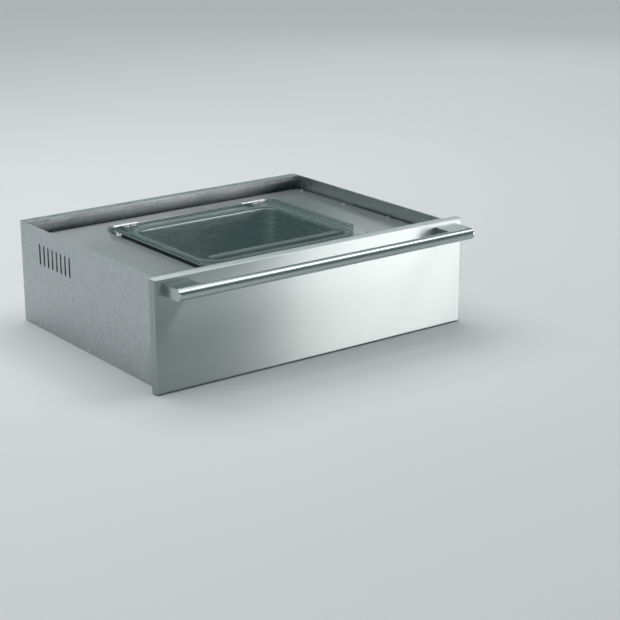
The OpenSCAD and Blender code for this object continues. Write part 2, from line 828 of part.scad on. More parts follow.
module drawer_tub() {
    color([0.72, 0.74, 0.75]) from_front() difference() {
        union() {
            difference() {
                slab(-tub_x, tub_x, panel_back, tub_y1, tub_lift, tub_top);
                slab(sheet - tub_x, tub_x - sheet, panel_back + sheet, tub_y1 - sheet,
                    floor_z, tub_top + cut);
            }
            for (s = [0, 1]) mirror([s, 0, 0])
                slab(tub_x - sheet, tub_x + tub_flange, panel_back, tub_y1,
                    tub_top - sheet, tub_top);
            for (y = [panel_back, tub_y1 - tub_rim])
                slab(-tub_x, tub_x, y, y + tub_rim, tub_top - sheet, tub_top);
        }
        at_front_screws() rod_y(screw_r + fit_gap, panel_back - cut,
            panel_back + 2 * sheet, 0, 0);
        at_adjuster_screws() rod_y(screw_r + fit_gap, panel_back - cut,
            panel_back + 2 * sheet, 0, 0);
        for (s = [0, 1]) mirror([s, 0, 0]) at_slide_bolts()
            rod_x(screw_r + fit_gap, tub_x - sheet - cut, tub_x + cut, 0, 0);
        at_deck_screws() rod_z(screw_r + fit_gap, tub_top - sheet - cut, tub_top + cut, 0, 0);
        for (k = [-4:4]) vent_slot_y(tub_y1 - sheet - cut, tub_y1 + cut, pump_x + k * 12,
            pump_z, 5, 70);
    }
}

module at_deck_screws() {
    for (s = [-1, 1], k = deck_screw_steps)
        translate([s * (tub_x + tub_flange / 2), k * (tub_y1 - panel_back) + panel_back, 0])
            children();
}

module at_hinge_screws() {
    for (s = [-1, 1], t = [-1, 1])
        translate([s * arm_x + t * (arm_w / 2 + side_play + ear_w / 2),
            (foot_y[0] + foot_y[1]) / 2 + 1, 0]) children();
}

module deck() {
    color([0.78, 0.8, 0.8]) from_front() difference() {
        union() {
            slab(-deck_x, deck_x, panel_back, tub_y1, tub_top, deck_z);
            for (s = [0, 1]) mirror([s, 0, 0])
                slab(deck_x - sheet, deck_x, panel_back, tub_y1, deck_z - deck_lip, deck_z);
        }
        translate([0, chamber_y, 0]) round_block(chamber_w + 2 * chamber_wall + 2,
            chamber_l + 2 * chamber_wall + 2, chamber_r + chamber_wall + 1,
            tub_top - cut, deck_z + cut);
        translate([0, control_y, 0])
            round_block(control_w - 60, control_d - 22, 4, tub_top - cut, deck_z + cut);
        at_deck_screws() rod_z(screw_r + fit_gap, tub_top - cut, deck_z + cut, 0, 0);
        at_hinge_screws() rod_z(screw_r + fit_gap, tub_top - cut, deck_z + cut, 0, 0);
    }
}

module deck_screws() {
    hinge_seat = deck_z + hinge_foot;
    color([0.75, 0.75, 0.77]) from_front() {
        at_deck_screws() translate([0, 0, deck_z])
            pan_screw(screw_r, 2 * sheet, tub_flange / 2 + 0.6, 1.6);
        at_hinge_screws() translate([0, 0, hinge_seat])
            pan_screw(screw_r, sheet + hinge_foot, screw_head_r, screw_head_t);
    }
}

// Chamber

module chamber() {
    color([0.8, 0.82, 0.82]) from_front() translate([0, chamber_y, 0]) difference() {
        union() {
            round_block(chamber_w + 2 * rim_w, chamber_l + 2 * rim_w, chamber_r + rim_w,
                deck_z, rim_top);
            round_block(chamber_w + 2 * chamber_wall, chamber_l + 2 * chamber_wall,
                chamber_r + chamber_wall, chamber_under, rim_top);
        }
        round_block(chamber_w, chamber_l, chamber_r, chamber_floor, rim_top + cut);
        rod_z(port_r + fit_gap, chamber_under - cut, chamber_floor + cut,
            port_x, port_y - chamber_y);
        rod_z(vent_r + fit_gap, chamber_under - cut, chamber_floor + cut,
            vent_x, port_y - chamber_y);
    }
}

module seal_ring(inner, outer, z0, z1) {
    difference() {
        round_block(chamber_w + 2 * outer, chamber_l + 2 * outer, chamber_r + outer, z0, z1);
        round_block(chamber_w + 2 * inner, chamber_l + 2 * inner, chamber_r + inner,
            z0 - cut, z1 + cut);
    }
}

module chamber_seal() {
    step = rim_top + seal_h * 0.65;
    color([0.45, 0.46, 0.47]) from_front() translate([0, chamber_y, 0]) {
        seal_ring(seal_offset, seal_offset + seal_w, rim_top, step);
        seal_ring(seal_offset + seal_w * 0.25, seal_offset + seal_w * 0.75,
            step - 0.5, glass_z);
    }
}

module suction_filter() {
    low = chamber_under - port_block_h;
    half = port_block_w / 2;
    color([0.84, 0.85, 0.86]) from_front() translate([port_x, port_y, 0]) difference() {
        union() {
            rod_z(18, chamber_floor, chamber_floor + 7, 0, 0);
            rod_z(port_r, low + 2, chamber_floor + 1, 0, 0);
            slab(-half, half, -half, half, low, chamber_under - port_nut_h);
            rod_x(nipple_r, half - 1, half + nipple_l, 0, inlet_z);
        }
        rod_z(hose_bore / 2 - 1.5, inlet_z, chamber_floor + 4, 0, 0);
        rod_x(hose_bore / 2 - 1.5, 0, half + nipple_l + cut, 0, inlet_z);
        for (a = [0:45:315]) rotate([0, 0, a])
            rod_x(1.2, 0, 20, 0, chamber_floor + 2.8);
    }
}

module vent_valve() {
    low = chamber_under - valve_h;
    coil_z = chamber_under - coil_drop;
    color([0.2, 0.21, 0.22]) from_front() translate([vent_x, port_y, 0]) difference() {
        union() {
            slab(-valve_w / 2, valve_w / 2, -valve_d / 2, valve_d / 2, low, chamber_under);
            rod_z(vent_r, chamber_under - 1, chamber_floor + 6, 0, 0);
            rod_x(coil_r, -valve_w / 2 - coil_l, 1 - valve_w / 2, 0, coil_z);
            rod_x(6, -valve_w / 2 - coil_l - 6, -valve_w / 2 - coil_l + 6, 0, coil_z);
        }
        rod_z(2.5, coil_z - 6, chamber_floor + 7, 0, 0);
        rod_y(2.5, -valve_d / 2 - cut, 1, 0, coil_z - 4);
    }
}

module port_nuts() {
    color([0.78, 0.79, 0.8]) from_front() {
        difference() {
            hex_z(port_nut_r, chamber_under - port_nut_h, chamber_under, port_x, port_y);
            rod_z(port_r + fit_gap, chamber_under - port_nut_h - cut, chamber_under + cut,
                port_x, port_y);
        }
        difference() {
            hex_z(9, chamber_floor, chamber_floor + 4, vent_x, port_y);
            rod_z(vent_r + fit_gap, chamber_floor - cut, chamber_floor + 5, vent_x, port_y);
        }
    }
}

// Seal bar

module piston_sleeves() {
    color([0.3, 0.31, 0.32]) from_front() for (s = [-1, 1])
        translate([s * piston_x, bar_y, chamber_floor]) difference() {
            union() {
                cylinder(r = piston_d / 2 + 9, h = sleeve_floor);
                cylinder(r = piston_d / 2 + 6, h = sleeve_h);
            }
            translate([0, 0, sleeve_floor])
                cylinder(r = piston_d / 2 + fit_gap, h = sleeve_h);
        }
}

module seal_bar() {
    color([0.16, 0.16, 0.17]) from_front() {
        difference() {
            slab(-bar_l / 2, bar_l / 2, bar_y - bar_w / 2, bar_y + bar_w / 2,
                bar_top - bar_h, bar_top - strip_t);
            for (s = [-1, 1]) slab(-bar_l / 2 - cut, bar_l / 2 + cut,
                bar_y + s * bar_w / 2 - 1.5, bar_y + s * bar_w / 2 + 1.5,
                bar_top - bar_h * 0.55, bar_top - bar_h * 0.4);
        }
        for (s = [-1, 1]) rod_z(piston_d / 2, chamber_floor + sleeve_floor + seat_gap,
            bar_top - bar_h + 1, s * piston_x, bar_y);
    }
}

module heating_strip() {
    color([0.72, 0.58, 0.3]) from_front() slab(6 - bar_l / 2, bar_l / 2 - 6,
        bar_y - strip_w / 2, bar_y + strip_w / 2, bar_top - strip_t, bar_top);
}

// Lid

module at_lid_screws() {
    for (s = [-1, 1], t = [-1, 1])
        translate([s * arm_x + t * arm_w * 0.27, lid_back - arm_reach / 2, 0]) children();
}

module glass_lid() {
    color([0.55, 0.62, 0.62, 0.5]) from_front() difference() {
        translate([0, lid_setback + lid_l / 2, 0])
            round_block(lid_w, lid_l, lid_r, glass_z, glass_top);
        at_lid_screws() rod_z(screw_r + 1, glass_z - cut, glass_top + cut, 0, 0);
    }
}

module lid_arms() {
    color([0.8, 0.82, 0.83]) from_front() difference() {
        for (s = [-1, 1]) {
            slab(s * arm_x - arm_w / 2, s * arm_x + arm_w / 2, lid_back - arm_reach, pivot_y,
                glass_z - arm_t, glass_z);
            rod_x(knuckle_d / 2, s * arm_x - arm_w / 2, s * arm_x + arm_w / 2,
                pivot_y, pivot_z);
        }
        for (s = [-1, 1]) rod_x(shaft_d / 2 + shaft_play, s * arm_x - arm_w,
            s * arm_x + arm_w, pivot_y, pivot_z);
        at_lid_screws() rod_z(screw_r + fit_gap, glass_z - arm_t - cut, glass_z + cut, 0, 0);
    }
}

module lid_screws() {
    color([0.84, 0.85, 0.86]) from_front() at_lid_screws() translate([0, 0, glass_top])
        pan_screw(screw_r, lid_t + arm_t, 7, 2);
}

module counter_bar() {
    color([0.55, 0.2, 0.15]) from_front() {
        slab(-bar_l / 2, bar_l / 2, bar_y - counter_foot_w / 2, bar_y + counter_foot_w / 2,
            glass_z - counter_h * 0.4, glass_z);
        slab(-bar_l / 2, bar_l / 2, bar_y - counter_w / 2, bar_y + counter_w / 2,
            glass_z - counter_h, glass_z - counter_h * 0.3);
    }
}

module hinge_blocks() {
    color([0.78, 0.8, 0.81]) from_front() difference() {
        for (s = [-1, 1]) {
            for (t = [-1, 1]) {
                x = s * arm_x + t * (arm_w / 2 + side_play + ear_w / 2);
                slab(x - ear_w / 2, x + ear_w / 2, pivot_y - ear_d, foot_y[0] + 1,
                    deck_z, pivot_z);
                rod_x(knuckle_d / 2, x - ear_w / 2, x + ear_w / 2, pivot_y, pivot_z);
            }
            slab(s * arm_x - arm_w / 2 - side_play - ear_w,
                s * arm_x + arm_w / 2 + side_play + ear_w, foot_y[0], foot_y[1],
                deck_z, deck_z + hinge_foot);
        }
        for (s = [-1, 1]) rod_x(shaft_d / 2 + shaft_play, s * arm_x - arm_w * 2,
            s * arm_x + arm_w * 2, pivot_y, pivot_z);
        at_hinge_screws() rod_z(screw_r + fit_gap, deck_z - cut, deck_z + hinge_foot + cut,
            0, 0);
    }
}

module hinge_shaft() {
    half = arm_x + arm_w / 2 + side_play + ear_w + 3;
    color([0.86, 0.87, 0.88]) from_front() rod_x(shaft_d / 2, -half, half, pivot_y, pivot_z);
}

// Controls

module control_panel() {
    color([0.04, 0.04, 0.05]) from_front() translate([0, control_y, 0])
        round_block(control_w, control_d, control_r, deck_z, deck_z + control_t);
}

module control_board() {
    board_z = tub_top - 12;
    half_l = control_w / 2 - 34;
    half_d = control_d / 2 - 3;
    color([0.1, 0.35, 0.2]) from_front() translate([0, control_y, 0]) {
        slab(-half_l, half_l, -half_d, half_d, board_z, board_z + 1.6);
        for (sx = [-1, 1], sy = [-1, 1])
            rod_z(3, board_z + 1, tub_top, sx * (half_l - 6), sy * (half_d - 4));
        for (k = [-3:3]) slab(k * 40 - 7, k * 40 + 7, -6, 6, board_z + 1, board_z + 5);
    }
}

// Pump

module pump_base() {
    color([0.68, 0.7, 0.71]) from_front() difference() {
        slab(pump_x - base_w / 2, pump_x + base_w / 2, base_y, base_y + base_l,
            plate_z, plate_z + plate_t);
        at_mounts() rod_z(mount_stud_r, plate_z - cut, plate_z + plate_t + cut, 0, 0);
    }
}

module pump_mounts() {
    color([0.08, 0.08, 0.08]) from_front() at_mounts() {
        rod_z(mount_r, floor_z, plate_z, 0, 0);
        rod_z(mount_stud_r - fit_gap, plate_z - 1, plate_z + plate_t + 4, 0, 0);
    }
}

module pump_head() {
    color([0.66, 0.68, 0.7]) from_front() difference() {
        union() {
            slab(pump_x - crank_x, pump_x + crank_x, pump_y - crank_y, pump_y + crank_y,
                plate_z + plate_t, pump_z + crank_top);
            for (s = [-1, 1]) {
                rod_x(head_r, pump_x + s * (crank_x + head_t / 2) - head_t / 2,
                    pump_x + s * (crank_x + head_t / 2) + head_t / 2, pump_y, pump_z);
            }
            rod_x(nipple_r, inlet_x - nipple_l, inlet_x + 4, port_y, inlet_z);
        }
        rod_x(nipple_r - 1.5, inlet_x - nipple_l - cut, inlet_x + 12, port_y, inlet_z);
        rod_y(motor_shaft_d / 2 + fit_gap, pump_y, motor_y + cut, pump_x, pump_z);
    }
}

module pump_motor() {
    color([0.2, 0.21, 0.22]) from_front() difference() {
        union() {
            rod_y(motor_r - 3, motor_y, motor_y + motor_l, pump_x, pump_z);
            for (k = [0:9]) rod_y(motor_r, motor_y + 8 + k * (motor_l - 20) / 9,
                motor_y + 11 + k * (motor_l - 20) / 9, pump_x, pump_z);
            rod_y(motor_r, motor_y + motor_l - 6, motor_y + motor_l + cowl_l, pump_x, pump_z);
            slab(pump_x - 30, pump_x + 30, motor_y + 16, motor_y + motor_l - 16,
                plate_z + plate_t, pump_z - motor_r * 0.6);
        }
        rod_y(motor_r - cowl_wall, motor_y + motor_l, motor_y + motor_l + cowl_l + cut,
            pump_x, pump_z);
        rod_y(motor_shaft_d / 2 + fit_gap, motor_y - cut, motor_y + motor_l + cut,
            pump_x, pump_z);
    }
}

module pump_fan() {
    fan_y = motor_y + motor_l + 4;
    color([0.85, 0.85, 0.83]) from_front() translate([pump_x, fan_y, pump_z])
        rotate([-90, 0, 0]) {
            translate([0, 0, pump_y + 6 - fan_y])
                cylinder(r = motor_shaft_d / 2, h = fan_y - pump_y + 10);
            cylinder(r = motor_shaft_d / 2 + 6, h = 14);
            cylinder(r = fan_r, h = 1.6);
            for (k = [0:fan_blades - 1]) rotate([0, 0, (k + 0.4) * 360 / fan_blades])
                translate([motor_shaft_d / 2 + 4, -1, 0.8])
                    cube([fan_r - motor_shaft_d / 2 - 5, 2, 12]);
        }
}

module exhaust_muffler() {
    low = pump_z + crank_top;
    color([0.18, 0.18, 0.19]) from_front() translate([pump_x, pump_y, 0]) {
        rod_z(5, low, low + 8, 0, 0);
        rod_z(13, low + 6, low + 34, 0, 0);
        for (k = [0:3]) rod_z(14.5, low + 9 + k * 6, low + 11 + k * 6, 0, 0);
    }
}

module suction_hose() {
    x0 = port_x + port_block_w / 2 + seat_gap;
    x1 = inlet_x - seat_gap;
    color([0.12, 0.12, 0.13]) from_front() difference() {
        rod_x(hose_d / 2, x0, x1, port_y, inlet_z);
        rod_x(hose_bore / 2, x0 - cut, x1 + cut, port_y, inlet_z);
    }
}

// Electrics

module transformer() {
    x = -pump_x;
    y = pump_y + 80;
    color([0.78, 0.62, 0.22]) from_front() {
        translate([x, y, floor_z + 2]) rotate_extrude() {
            translate([16, 6]) square([toroid_r - 16, toroid_h - 12]);
            translate([22, 0]) square([toroid_r - 28, toroid_h]);
            for (r = [22, toroid_r - 6], z = [6, toroid_h - 6]) translate([r, z]) circle(6);
        }
        rod_z(toroid_r - 8, floor_z, floor_z + 3, x, y);
        rod_z(toroid_r - 12, floor_z + 1 + toroid_h, floor_z + 5 + toroid_h, x, y);
        rod_z(16.5, floor_z, floor_z + 3 + toroid_h, x, y);
        hex_z(7, floor_z + 4 + toroid_h, floor_z + 10 + toroid_h, x, y);
    }
}

module heat_sink(w, l, h) {
    fins = 7;
    fin_t = 2.5;
    cube([w, l, 5]);
    for (k = [0:fins - 1]) translate([k * (w - fin_t) / (fins - 1), 0, 0]) cube([fin_t, l, h]);
}

module power_board() {
    x = board_side - tub_x;
    z = floor_z + board_lift;
    color([0.1, 0.35, 0.2]) from_front() {
        slab(x, x + board_w, board_y, board_y + board_l, z, z + board_t);
        for (sx = [0, 1], sy = [0, 1]) rod_z(4, floor_z, z + 1,
            x + board_post_inset + sx * (board_w - 2 * board_post_inset),
            board_y + board_post_inset + sy * (board_l - 2 * board_post_inset));
        translate([x + 20, board_y + 20, z + 1]) heat_sink(44.5, 70, 33);
        for (k = [0:2]) rod_z(11, z + 1, z + 36, x + 100, board_y + 30 + k * 27);
        for (k = [0:3]) translate([x + 18 + k * 26, board_y + 150, z + 1]) cube([20, 28, 16]);
        translate([x + 20, board_y + 104, z + 1]) cube([38, 34, 25]);
    }
}

base_tray();
side_plate_left();
side_plate_right();
back_plate();
front_tie_rail();
rear_tie_rail();
slide_outer_left();
slide_outer_right();
housing_rivets();
mains_gland();
gland_nut();
terminal_box();
rear_bumpers();
slide_mid_left();
slide_mid_right();
ball_cages_outer();
balls_outer();
ball_cages_inner();
balls_inner();
front_skin();
front_backplate();
front_stiffener();
handle_tube();
handle_plugs();
handle_bracket_left();
handle_bracket_right();
handle_screws();
front_adjusters();
tub_screws();
drawer_tub();
slide_inner_left();
slide_inner_right();
deck();
deck_screws();
chamber();
chamber_seal();
suction_filter();
vent_valve();
port_nuts();
piston_sleeves();
hinge_blocks();
hinge_shaft();
control_panel();
control_board();
pump_head();
pump_motor();
pump_base();
pump_mounts();
exhaust_muffler();
suction_hose();
transformer();
power_board();
pump_fan();
glass_lid();
lid_arms();
lid_screws();
counter_bar();
seal_bar();
heating_strip();
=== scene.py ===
import math
from functools import cache

import bmesh
import bpy
from bpy.props import FloatProperty, FloatVectorProperty, IntProperty, PointerProperty
from mathutils import Matrix, Vector


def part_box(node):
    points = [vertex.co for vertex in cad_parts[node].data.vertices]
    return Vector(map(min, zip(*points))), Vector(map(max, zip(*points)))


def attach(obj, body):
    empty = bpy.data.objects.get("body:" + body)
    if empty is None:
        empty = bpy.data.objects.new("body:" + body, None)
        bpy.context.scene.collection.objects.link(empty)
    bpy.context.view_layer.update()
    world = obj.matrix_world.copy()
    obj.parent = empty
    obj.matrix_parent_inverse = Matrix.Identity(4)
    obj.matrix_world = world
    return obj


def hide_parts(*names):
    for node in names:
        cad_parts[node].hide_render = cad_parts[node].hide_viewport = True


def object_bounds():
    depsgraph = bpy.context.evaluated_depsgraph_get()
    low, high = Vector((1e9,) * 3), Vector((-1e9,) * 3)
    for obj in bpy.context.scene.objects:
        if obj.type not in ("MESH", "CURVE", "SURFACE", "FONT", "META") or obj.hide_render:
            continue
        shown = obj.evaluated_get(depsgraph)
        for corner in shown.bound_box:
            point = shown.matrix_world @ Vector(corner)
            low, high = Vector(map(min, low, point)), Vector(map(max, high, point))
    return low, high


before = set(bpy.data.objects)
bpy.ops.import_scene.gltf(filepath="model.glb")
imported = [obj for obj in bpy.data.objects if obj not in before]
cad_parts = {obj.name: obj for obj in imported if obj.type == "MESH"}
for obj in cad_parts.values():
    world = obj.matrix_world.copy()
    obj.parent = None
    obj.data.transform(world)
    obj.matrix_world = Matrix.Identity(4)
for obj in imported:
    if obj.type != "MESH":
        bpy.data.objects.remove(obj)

bl_info = {
    "name": "Vacuum Sealing Drawer",
    "version": (1, 0, 0),
    "blender": (4, 5, 0),
    "location": "3D View > Sidebar > Vacuum Drawer",
    "description": "Finishes and fine details of a built-in vacuum sealing drawer, with a studio",
    "category": "Object",
}

CAD_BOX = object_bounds()
MM = 0.001


# Sizes and colours


def length(name, description, default):
    """A property for a length in metres."""
    return FloatProperty(
        name=name, description=description, default=default, min=0.0, unit="LENGTH"
    )


def share(name, description, default):
    """A property for a share from 0 to 1."""
    return FloatProperty(
        name=name, description=description, default=default, min=0.0, max=1.0, subtype="FACTOR"
    )


def power(name, description, default):
    """A property for a lamp's power in watts."""
    return FloatProperty(
        name=name, description=description, default=default, min=0.0, unit="POWER"
    )


def colour(name, description, default):
    """A property for a linear colour."""
    return FloatVectorProperty(
        name=name, description=description, default=default, min=0.0, max=1.0, subtype="COLOR"
    )


class FrontSettings(bpy.types.PropertyGroup):
    steel: colour("Steel", "Colour of the front and handle", (0.465, 0.52, 0.514))
    roughness: share("Roughness", "Roughness of the brushed front", 0.40)
    anisotropy: share("Anisotropy", "How far the brushing stretches reflections", 1.0)
    grain: share("Grain", "How strongly the brushed lines show", 0.35)
    edge: length("Edge", "Rounding of the front's sharp edges", 0.4 * MM)
    handle_roughness: share("Handle roughness", "Roughness of the satin bar", 0.28)
    bracket_edge: length("Bracket edge", "Rounding of the brackets' edges", 0.8 * MM)


class SheetSettings(bpy.types.PropertyGroup):
    zinc: colour("Zinc", "Colour of the zinc-coated sheet", (0.50, 0.53, 0.545))
    spangle: length("Spangle", "Size of the zinc crystals", 7 * MM)
    fold: length("Fold", "Rounding of the folded sheet's edges", 0.5 * MM)
    dust: share("Dust", "Dust that has settled on upward faces", 0.12)


class ChamberSettings(bpy.types.PropertyGroup):
    fillet: length("Fillet", "Radius between the chamber's wall and floor", 10 * MM)
    mouth: length("Mouth", "Radius where the rim rolls into the wall", 2.5 * MM)
    corner: length("Corner", "Radius of the mouth's corners seen from above", 28 * MM)
    rim: length("Rim", "Width of the flat rim round the mouth", 18 * MM)
    wall: length("Wall", "Thickness of the chamber's sheet", 1.5 * MM)
    foot: length("Foot", "Width of the seal's foot", 10 * MM)
    bead: length("Bead", "Radius of the seal's round bead", 2.4 * MM)
    film: length("Film", "Thickness of the release film", 0.12 * MM)


class GlassSettings(bpy.types.PropertyGroup):
    tint: colour("Tint", "Tint of the tempered glass", (0.93, 0.985, 0.97))
    arris: length("Arris", "Polished bevel round the glass", 0.9 * MM)
    corner: length("Corner", "Radius of the lid's corners", 18 * MM)
    border: length("Border", "Width of the printed line round the lid", 3 * MM)
    border_inset: length("Border inset", "Gap from the glass edge to the line", 9 * MM)
    print_t: length("Print", "Thickness of printed marks", 0.06 * MM)


class StudioSettings(bpy.types.PropertyGroup):
    floor: colour("Floor", "Colour of the floor", (0.77, 0.785, 0.785))
    air: colour("Air", "Colour of the room above the floor", (0.050, 0.105, 0.100))
    haze: colour("Haze", "Colour of the far distance behind the floor", (0.474, 0.514, 0.509))
    skylight: colour("Skylight", "Colour of the pale light straight above", (0.94, 0.96, 0.96))
    overhead: power("Overhead", "Power of the softbox above the drawer", 33.0)
    side: power("Side softbox", "Power of the low softbox in front, at the right", 3.45)
    rear: power("Rear softbox", "Power of the softbox behind the drawer", 4.6)
    fill: power("Fill", "Power of the softbox at the left", 10.0)
    key: FloatProperty(name="Key light", description="Strength of the broad high light",
                       default=0.45, min=0.0)
    key_angle: FloatProperty(name="Key width", description="How wide the key light looks",
                             default=math.radians(20), subtype="ANGLE", unit="ROTATION")
    place: FloatVectorProperty(name="Camera place", description="Where the camera stands",
                               default=(-1.9181, -2.8464, 1.1170), subtype="TRANSLATION",
                               unit="LENGTH")
    turn: FloatVectorProperty(name="Camera turn", description="Pitch, yaw and roll of the camera",
                              default=tuple(math.radians(a) for a in (-17.71, -36.67, -0.21)),
                              subtype="EULER", unit="ROTATION")
    lens: FloatProperty(name="Lens", description="Focal length", default=97.33, unit="CAMERA")


class DrawerSettings(bpy.types.PropertyGroup):
    front: PointerProperty(type=FrontSettings, name="Front", description="Front and handle")
    sheet: PointerProperty(type=SheetSettings, name="Sheet", description="Housing and tub")
    chamber: PointerProperty(type=ChamberSettings, name="Chamber", description="Chamber and seal")
    glass: PointerProperty(type=GlassSettings, name="Glass", description="Lid and controls")
    studio: PointerProperty(type=StudioSettings, name="Studio", description="Floor, lights, camera")
    rim_steps: IntProperty(name="Corner steps", description="Faces in each round corner",
                           default=12, min=3)


def settings():
    """The sizes and colours that are in use."""
    return bpy.context.scene.vacuum_drawer


# Shader notation


def feed(tree, socket, value):
    """Links a socket to another one, or sets its plain value; colours are opaque."""
    if isinstance(value, bpy.types.NodeSocket):
        tree.links.new(value, socket)
    elif socket.type == "RGBA":
        socket.default_value = (*value, 1.0)
    else:
        socket.default_value = value


def add_node(tree, kind, inputs=(), **values):
    """A new shader node; inputs maps sockets to other sockets or to plain values."""
    made = tree.nodes.new("ShaderNode" + kind)
    for name, value in values.items():
        setattr(made, name, value)
    for name, value in dict(inputs).items():
        feed(tree, made.inputs[name], value)
    return made


def calc(tree, operation, first, second=0.0, clamp=False):
    """The sum, product or other result of two values."""
    made = add_node(tree, "Math", {0: first, 1: second}, operation=operation, use_clamp=clamp)
    return made.outputs[0]


def add_share(tree, base, extra, amount, clamp=False):
    """The base plus a share of something extra."""
    return calc(tree, "ADD", base, calc(tree, "MULTIPLY", extra, amount), clamp)


def mix(tree, amount, first, second):
    """A mix of two colours; the Mix node has them at inputs 6 and 7, and the result at output 2."""
    return add_node(tree, "Mix", {0: amount, 6: first, 7: second}, data_type="RGBA").outputs[2]


def remap(tree, value, low, high, to_low=0.0, to_high=1.0):
    """A value moved from one range to another."""
    return add_node(tree, "MapRange", {0: value, 1: low, 2: high, 3: to_low, 4: to_high}).outputs[0]


def between(tree, value, low, high):
    """A value that runs from low to high as the given one runs from 0 to 1."""
    return remap(tree, value, 0.0, 1.0, low, high)


def own_place(tree):
    """A point's place in the piece's own coordinates."""
    return add_node(tree, "TexCoord").outputs["Object"]


def stretched(tree, vector, scale):
    """A place scaled along each axis."""
    return add_node(tree, "Mapping", {"Vector": vector, "Scale": scale}).outputs[0]


def height_of(tree, vector):
    """The upward part of a place or direction."""
    return add_node(tree, "SeparateXYZ", {0: vector}).outputs["Z"]


def surface_normal(tree):
    """The direction that the surface faces."""
    return add_node(tree, "NewGeometry").outputs["Normal"]


def noise(tree, vector, scale, detail=3.0, rough=0.55):
    """Cloudy noise round 0.5."""
    made = add_node(
        tree, "TexNoise", {"Vector": vector, "Scale": scale, "Detail": detail, "Roughness": rough}
    )
    return made.outputs[0]


def bump(tree, height, strength, distance):
    """Fine relief; distance is its height in metres."""
    made = add_node(tree, "Bump", {"Strength": strength, "Distance": distance, "Height": height})
    return made.outputs["Normal"]


def shaded(tone, factor):
    """A colour made darker or paler."""
    return tuple(min(1.0, part * factor) for part in tone)


# Shader groups


def new_group(name, sizes, results):
    """An empty shader group with its input and output sockets."""
    group = bpy.data.node_groups.new(name, "ShaderNodeTree")
    kinds = {float: "NodeSocketFloat", tuple: "NodeSocketVector"}
    for label, default in sizes.items():
        socket = group.interface.new_socket(
            label, in_out="INPUT", socket_type=kinds[type(default)]
        )
        socket.default_value = default
    for label in results:
        group.interface.new_socket(label, in_out="OUTPUT", socket_type="NodeSocketFloat")
    taken = group.nodes.new("NodeGroupInput").outputs
    given = group.nodes.new("NodeGroupOutput").inputs
    return group, taken, given


@cache
def brushed_grain():
    """Fine parallel scratches, and broad uneven patches in them."""
    group, taken, given = new_group(
        "Brushed grain", {"Stretch": (6.0, 900.0, 900.0), "Patches": 5.0}, ("Grain", "Patch")
    )
    own = own_place(group)
    lines = stretched(group, own, taken["Stretch"])
    fine = noise(group, lines, 1.0, 4.0, 0.65)
    coarse = noise(group, lines, 0.31, 2.0, 0.5)
    both = add_share(group, calc(group, "MULTIPLY", fine, 0.65), coarse, 0.35)
    feed(group, given["Grain"], remap(group, both, 0.36, 0.64))
    patch = noise(group, own, taken["Patches"], 2.0, 0.5)
    feed(group, given["Patch"], remap(group, patch, 0.35, 0.65))
    return group


@cache
def handling_marks():
    """Faint smears where hands and cloths have passed."""
    group, taken, given = new_group("Handling marks", {"Scale": 9.0, "Cover": 0.4}, ("Mask",))
    own = own_place(group)
    broad = noise(group, own, taken["Scale"], 4.0, 0.6)
    streak = noise(group, stretched(group, own, (18.0, 60.0, 60.0)), 1.0, 2.0, 0.5)
    low = calc(group, "SUBTRACT", 0.75, calc(group, "MULTIPLY", taken["Cover"], 0.4))
    high = calc(group, "ADD", low, 0.14)
    soft = remap(group, broad, low, high)
    feed(group, given["Mask"], calc(group, "MULTIPLY", soft, streak, clamp=True))
    return group


@cache
def edge_wear():
    """Rubbed edges, found by comparing the true normal with a rounded one."""
    group, taken, given = new_group("Edge wear", {"Radius": 0.0012, "Amount": 0.6}, ("Mask",))
    rounded = add_node(group, "Bevel", {"Radius": taken["Radius"]}, samples=4).outputs[0]
    true = surface_normal(group)
    alike = add_node(group, "VectorMath", {0: rounded, 1: true}, operation="DOT_PRODUCT")
    edge = remap(group, calc(group, "SUBTRACT", 1.0, alike.outputs["Value"]), 0.01, 0.16)
    specks = noise(group, own_place(group), 130.0, 4.0, 0.7)
    worn = calc(group, "MULTIPLY", edge, remap(group, specks, 0.35, 0.6, 0.25, 1.0))
    feed(group, given["Mask"], calc(group, "MULTIPLY", worn, taken["Amount"], clamp=True))
    return group


@cache
def settled_dust():
    """Dust that lies on faces that look up."""
    group, taken, given = new_group("Settled dust", {"Amount": 0.2, "Scale": 26.0}, ("Mask",))
    flat = remap(group, height_of(group, surface_normal(group)), 0.6, 0.98)
    clouds = noise(group, own_place(group), taken["Scale"], 6.0, 0.65)
    lying = calc(group, "MULTIPLY", flat, remap(group, clouds, 0.35, 0.75, 0.2, 1.0))
    feed(group, given["Mask"], calc(group, "MULTIPLY", lying, taken["Amount"], clamp=True))
    return group


@cache
def zinc_spangle():
    """Zinc crystals of differing brightness, with their fine feathering."""
    group, taken, given = new_group("Zinc spangle", {"Cells": 110.0}, ("Shade", "Feather"))
    own = own_place(group)
    warp = add_node(group, "TexNoise", {"Vector": own, "Scale": 60.0, "Detail": 2.0})
    nudge = add_node(group, "VectorMath", {0: warp.outputs[1], "Scale": 0.006}, operation="SCALE")
    moved = add_node(group, "VectorMath", {0: own, 1: nudge.outputs[0]}, operation="ADD")
    cells = add_node(group, "TexVoronoi", {"Vector": moved.outputs[0], "Scale": taken["Cells"]})
    level = add_node(group, "SeparateColor", {0: cells.outputs["Color"]}).outputs[0]
    feed(group, given["Shade"], level)
    ribs = stretched(group, own, (700.0, 240.0, 700.0))
    feed(group, given["Feather"], noise(group, ribs, 1.0, 3.0, 0.6))
    return group


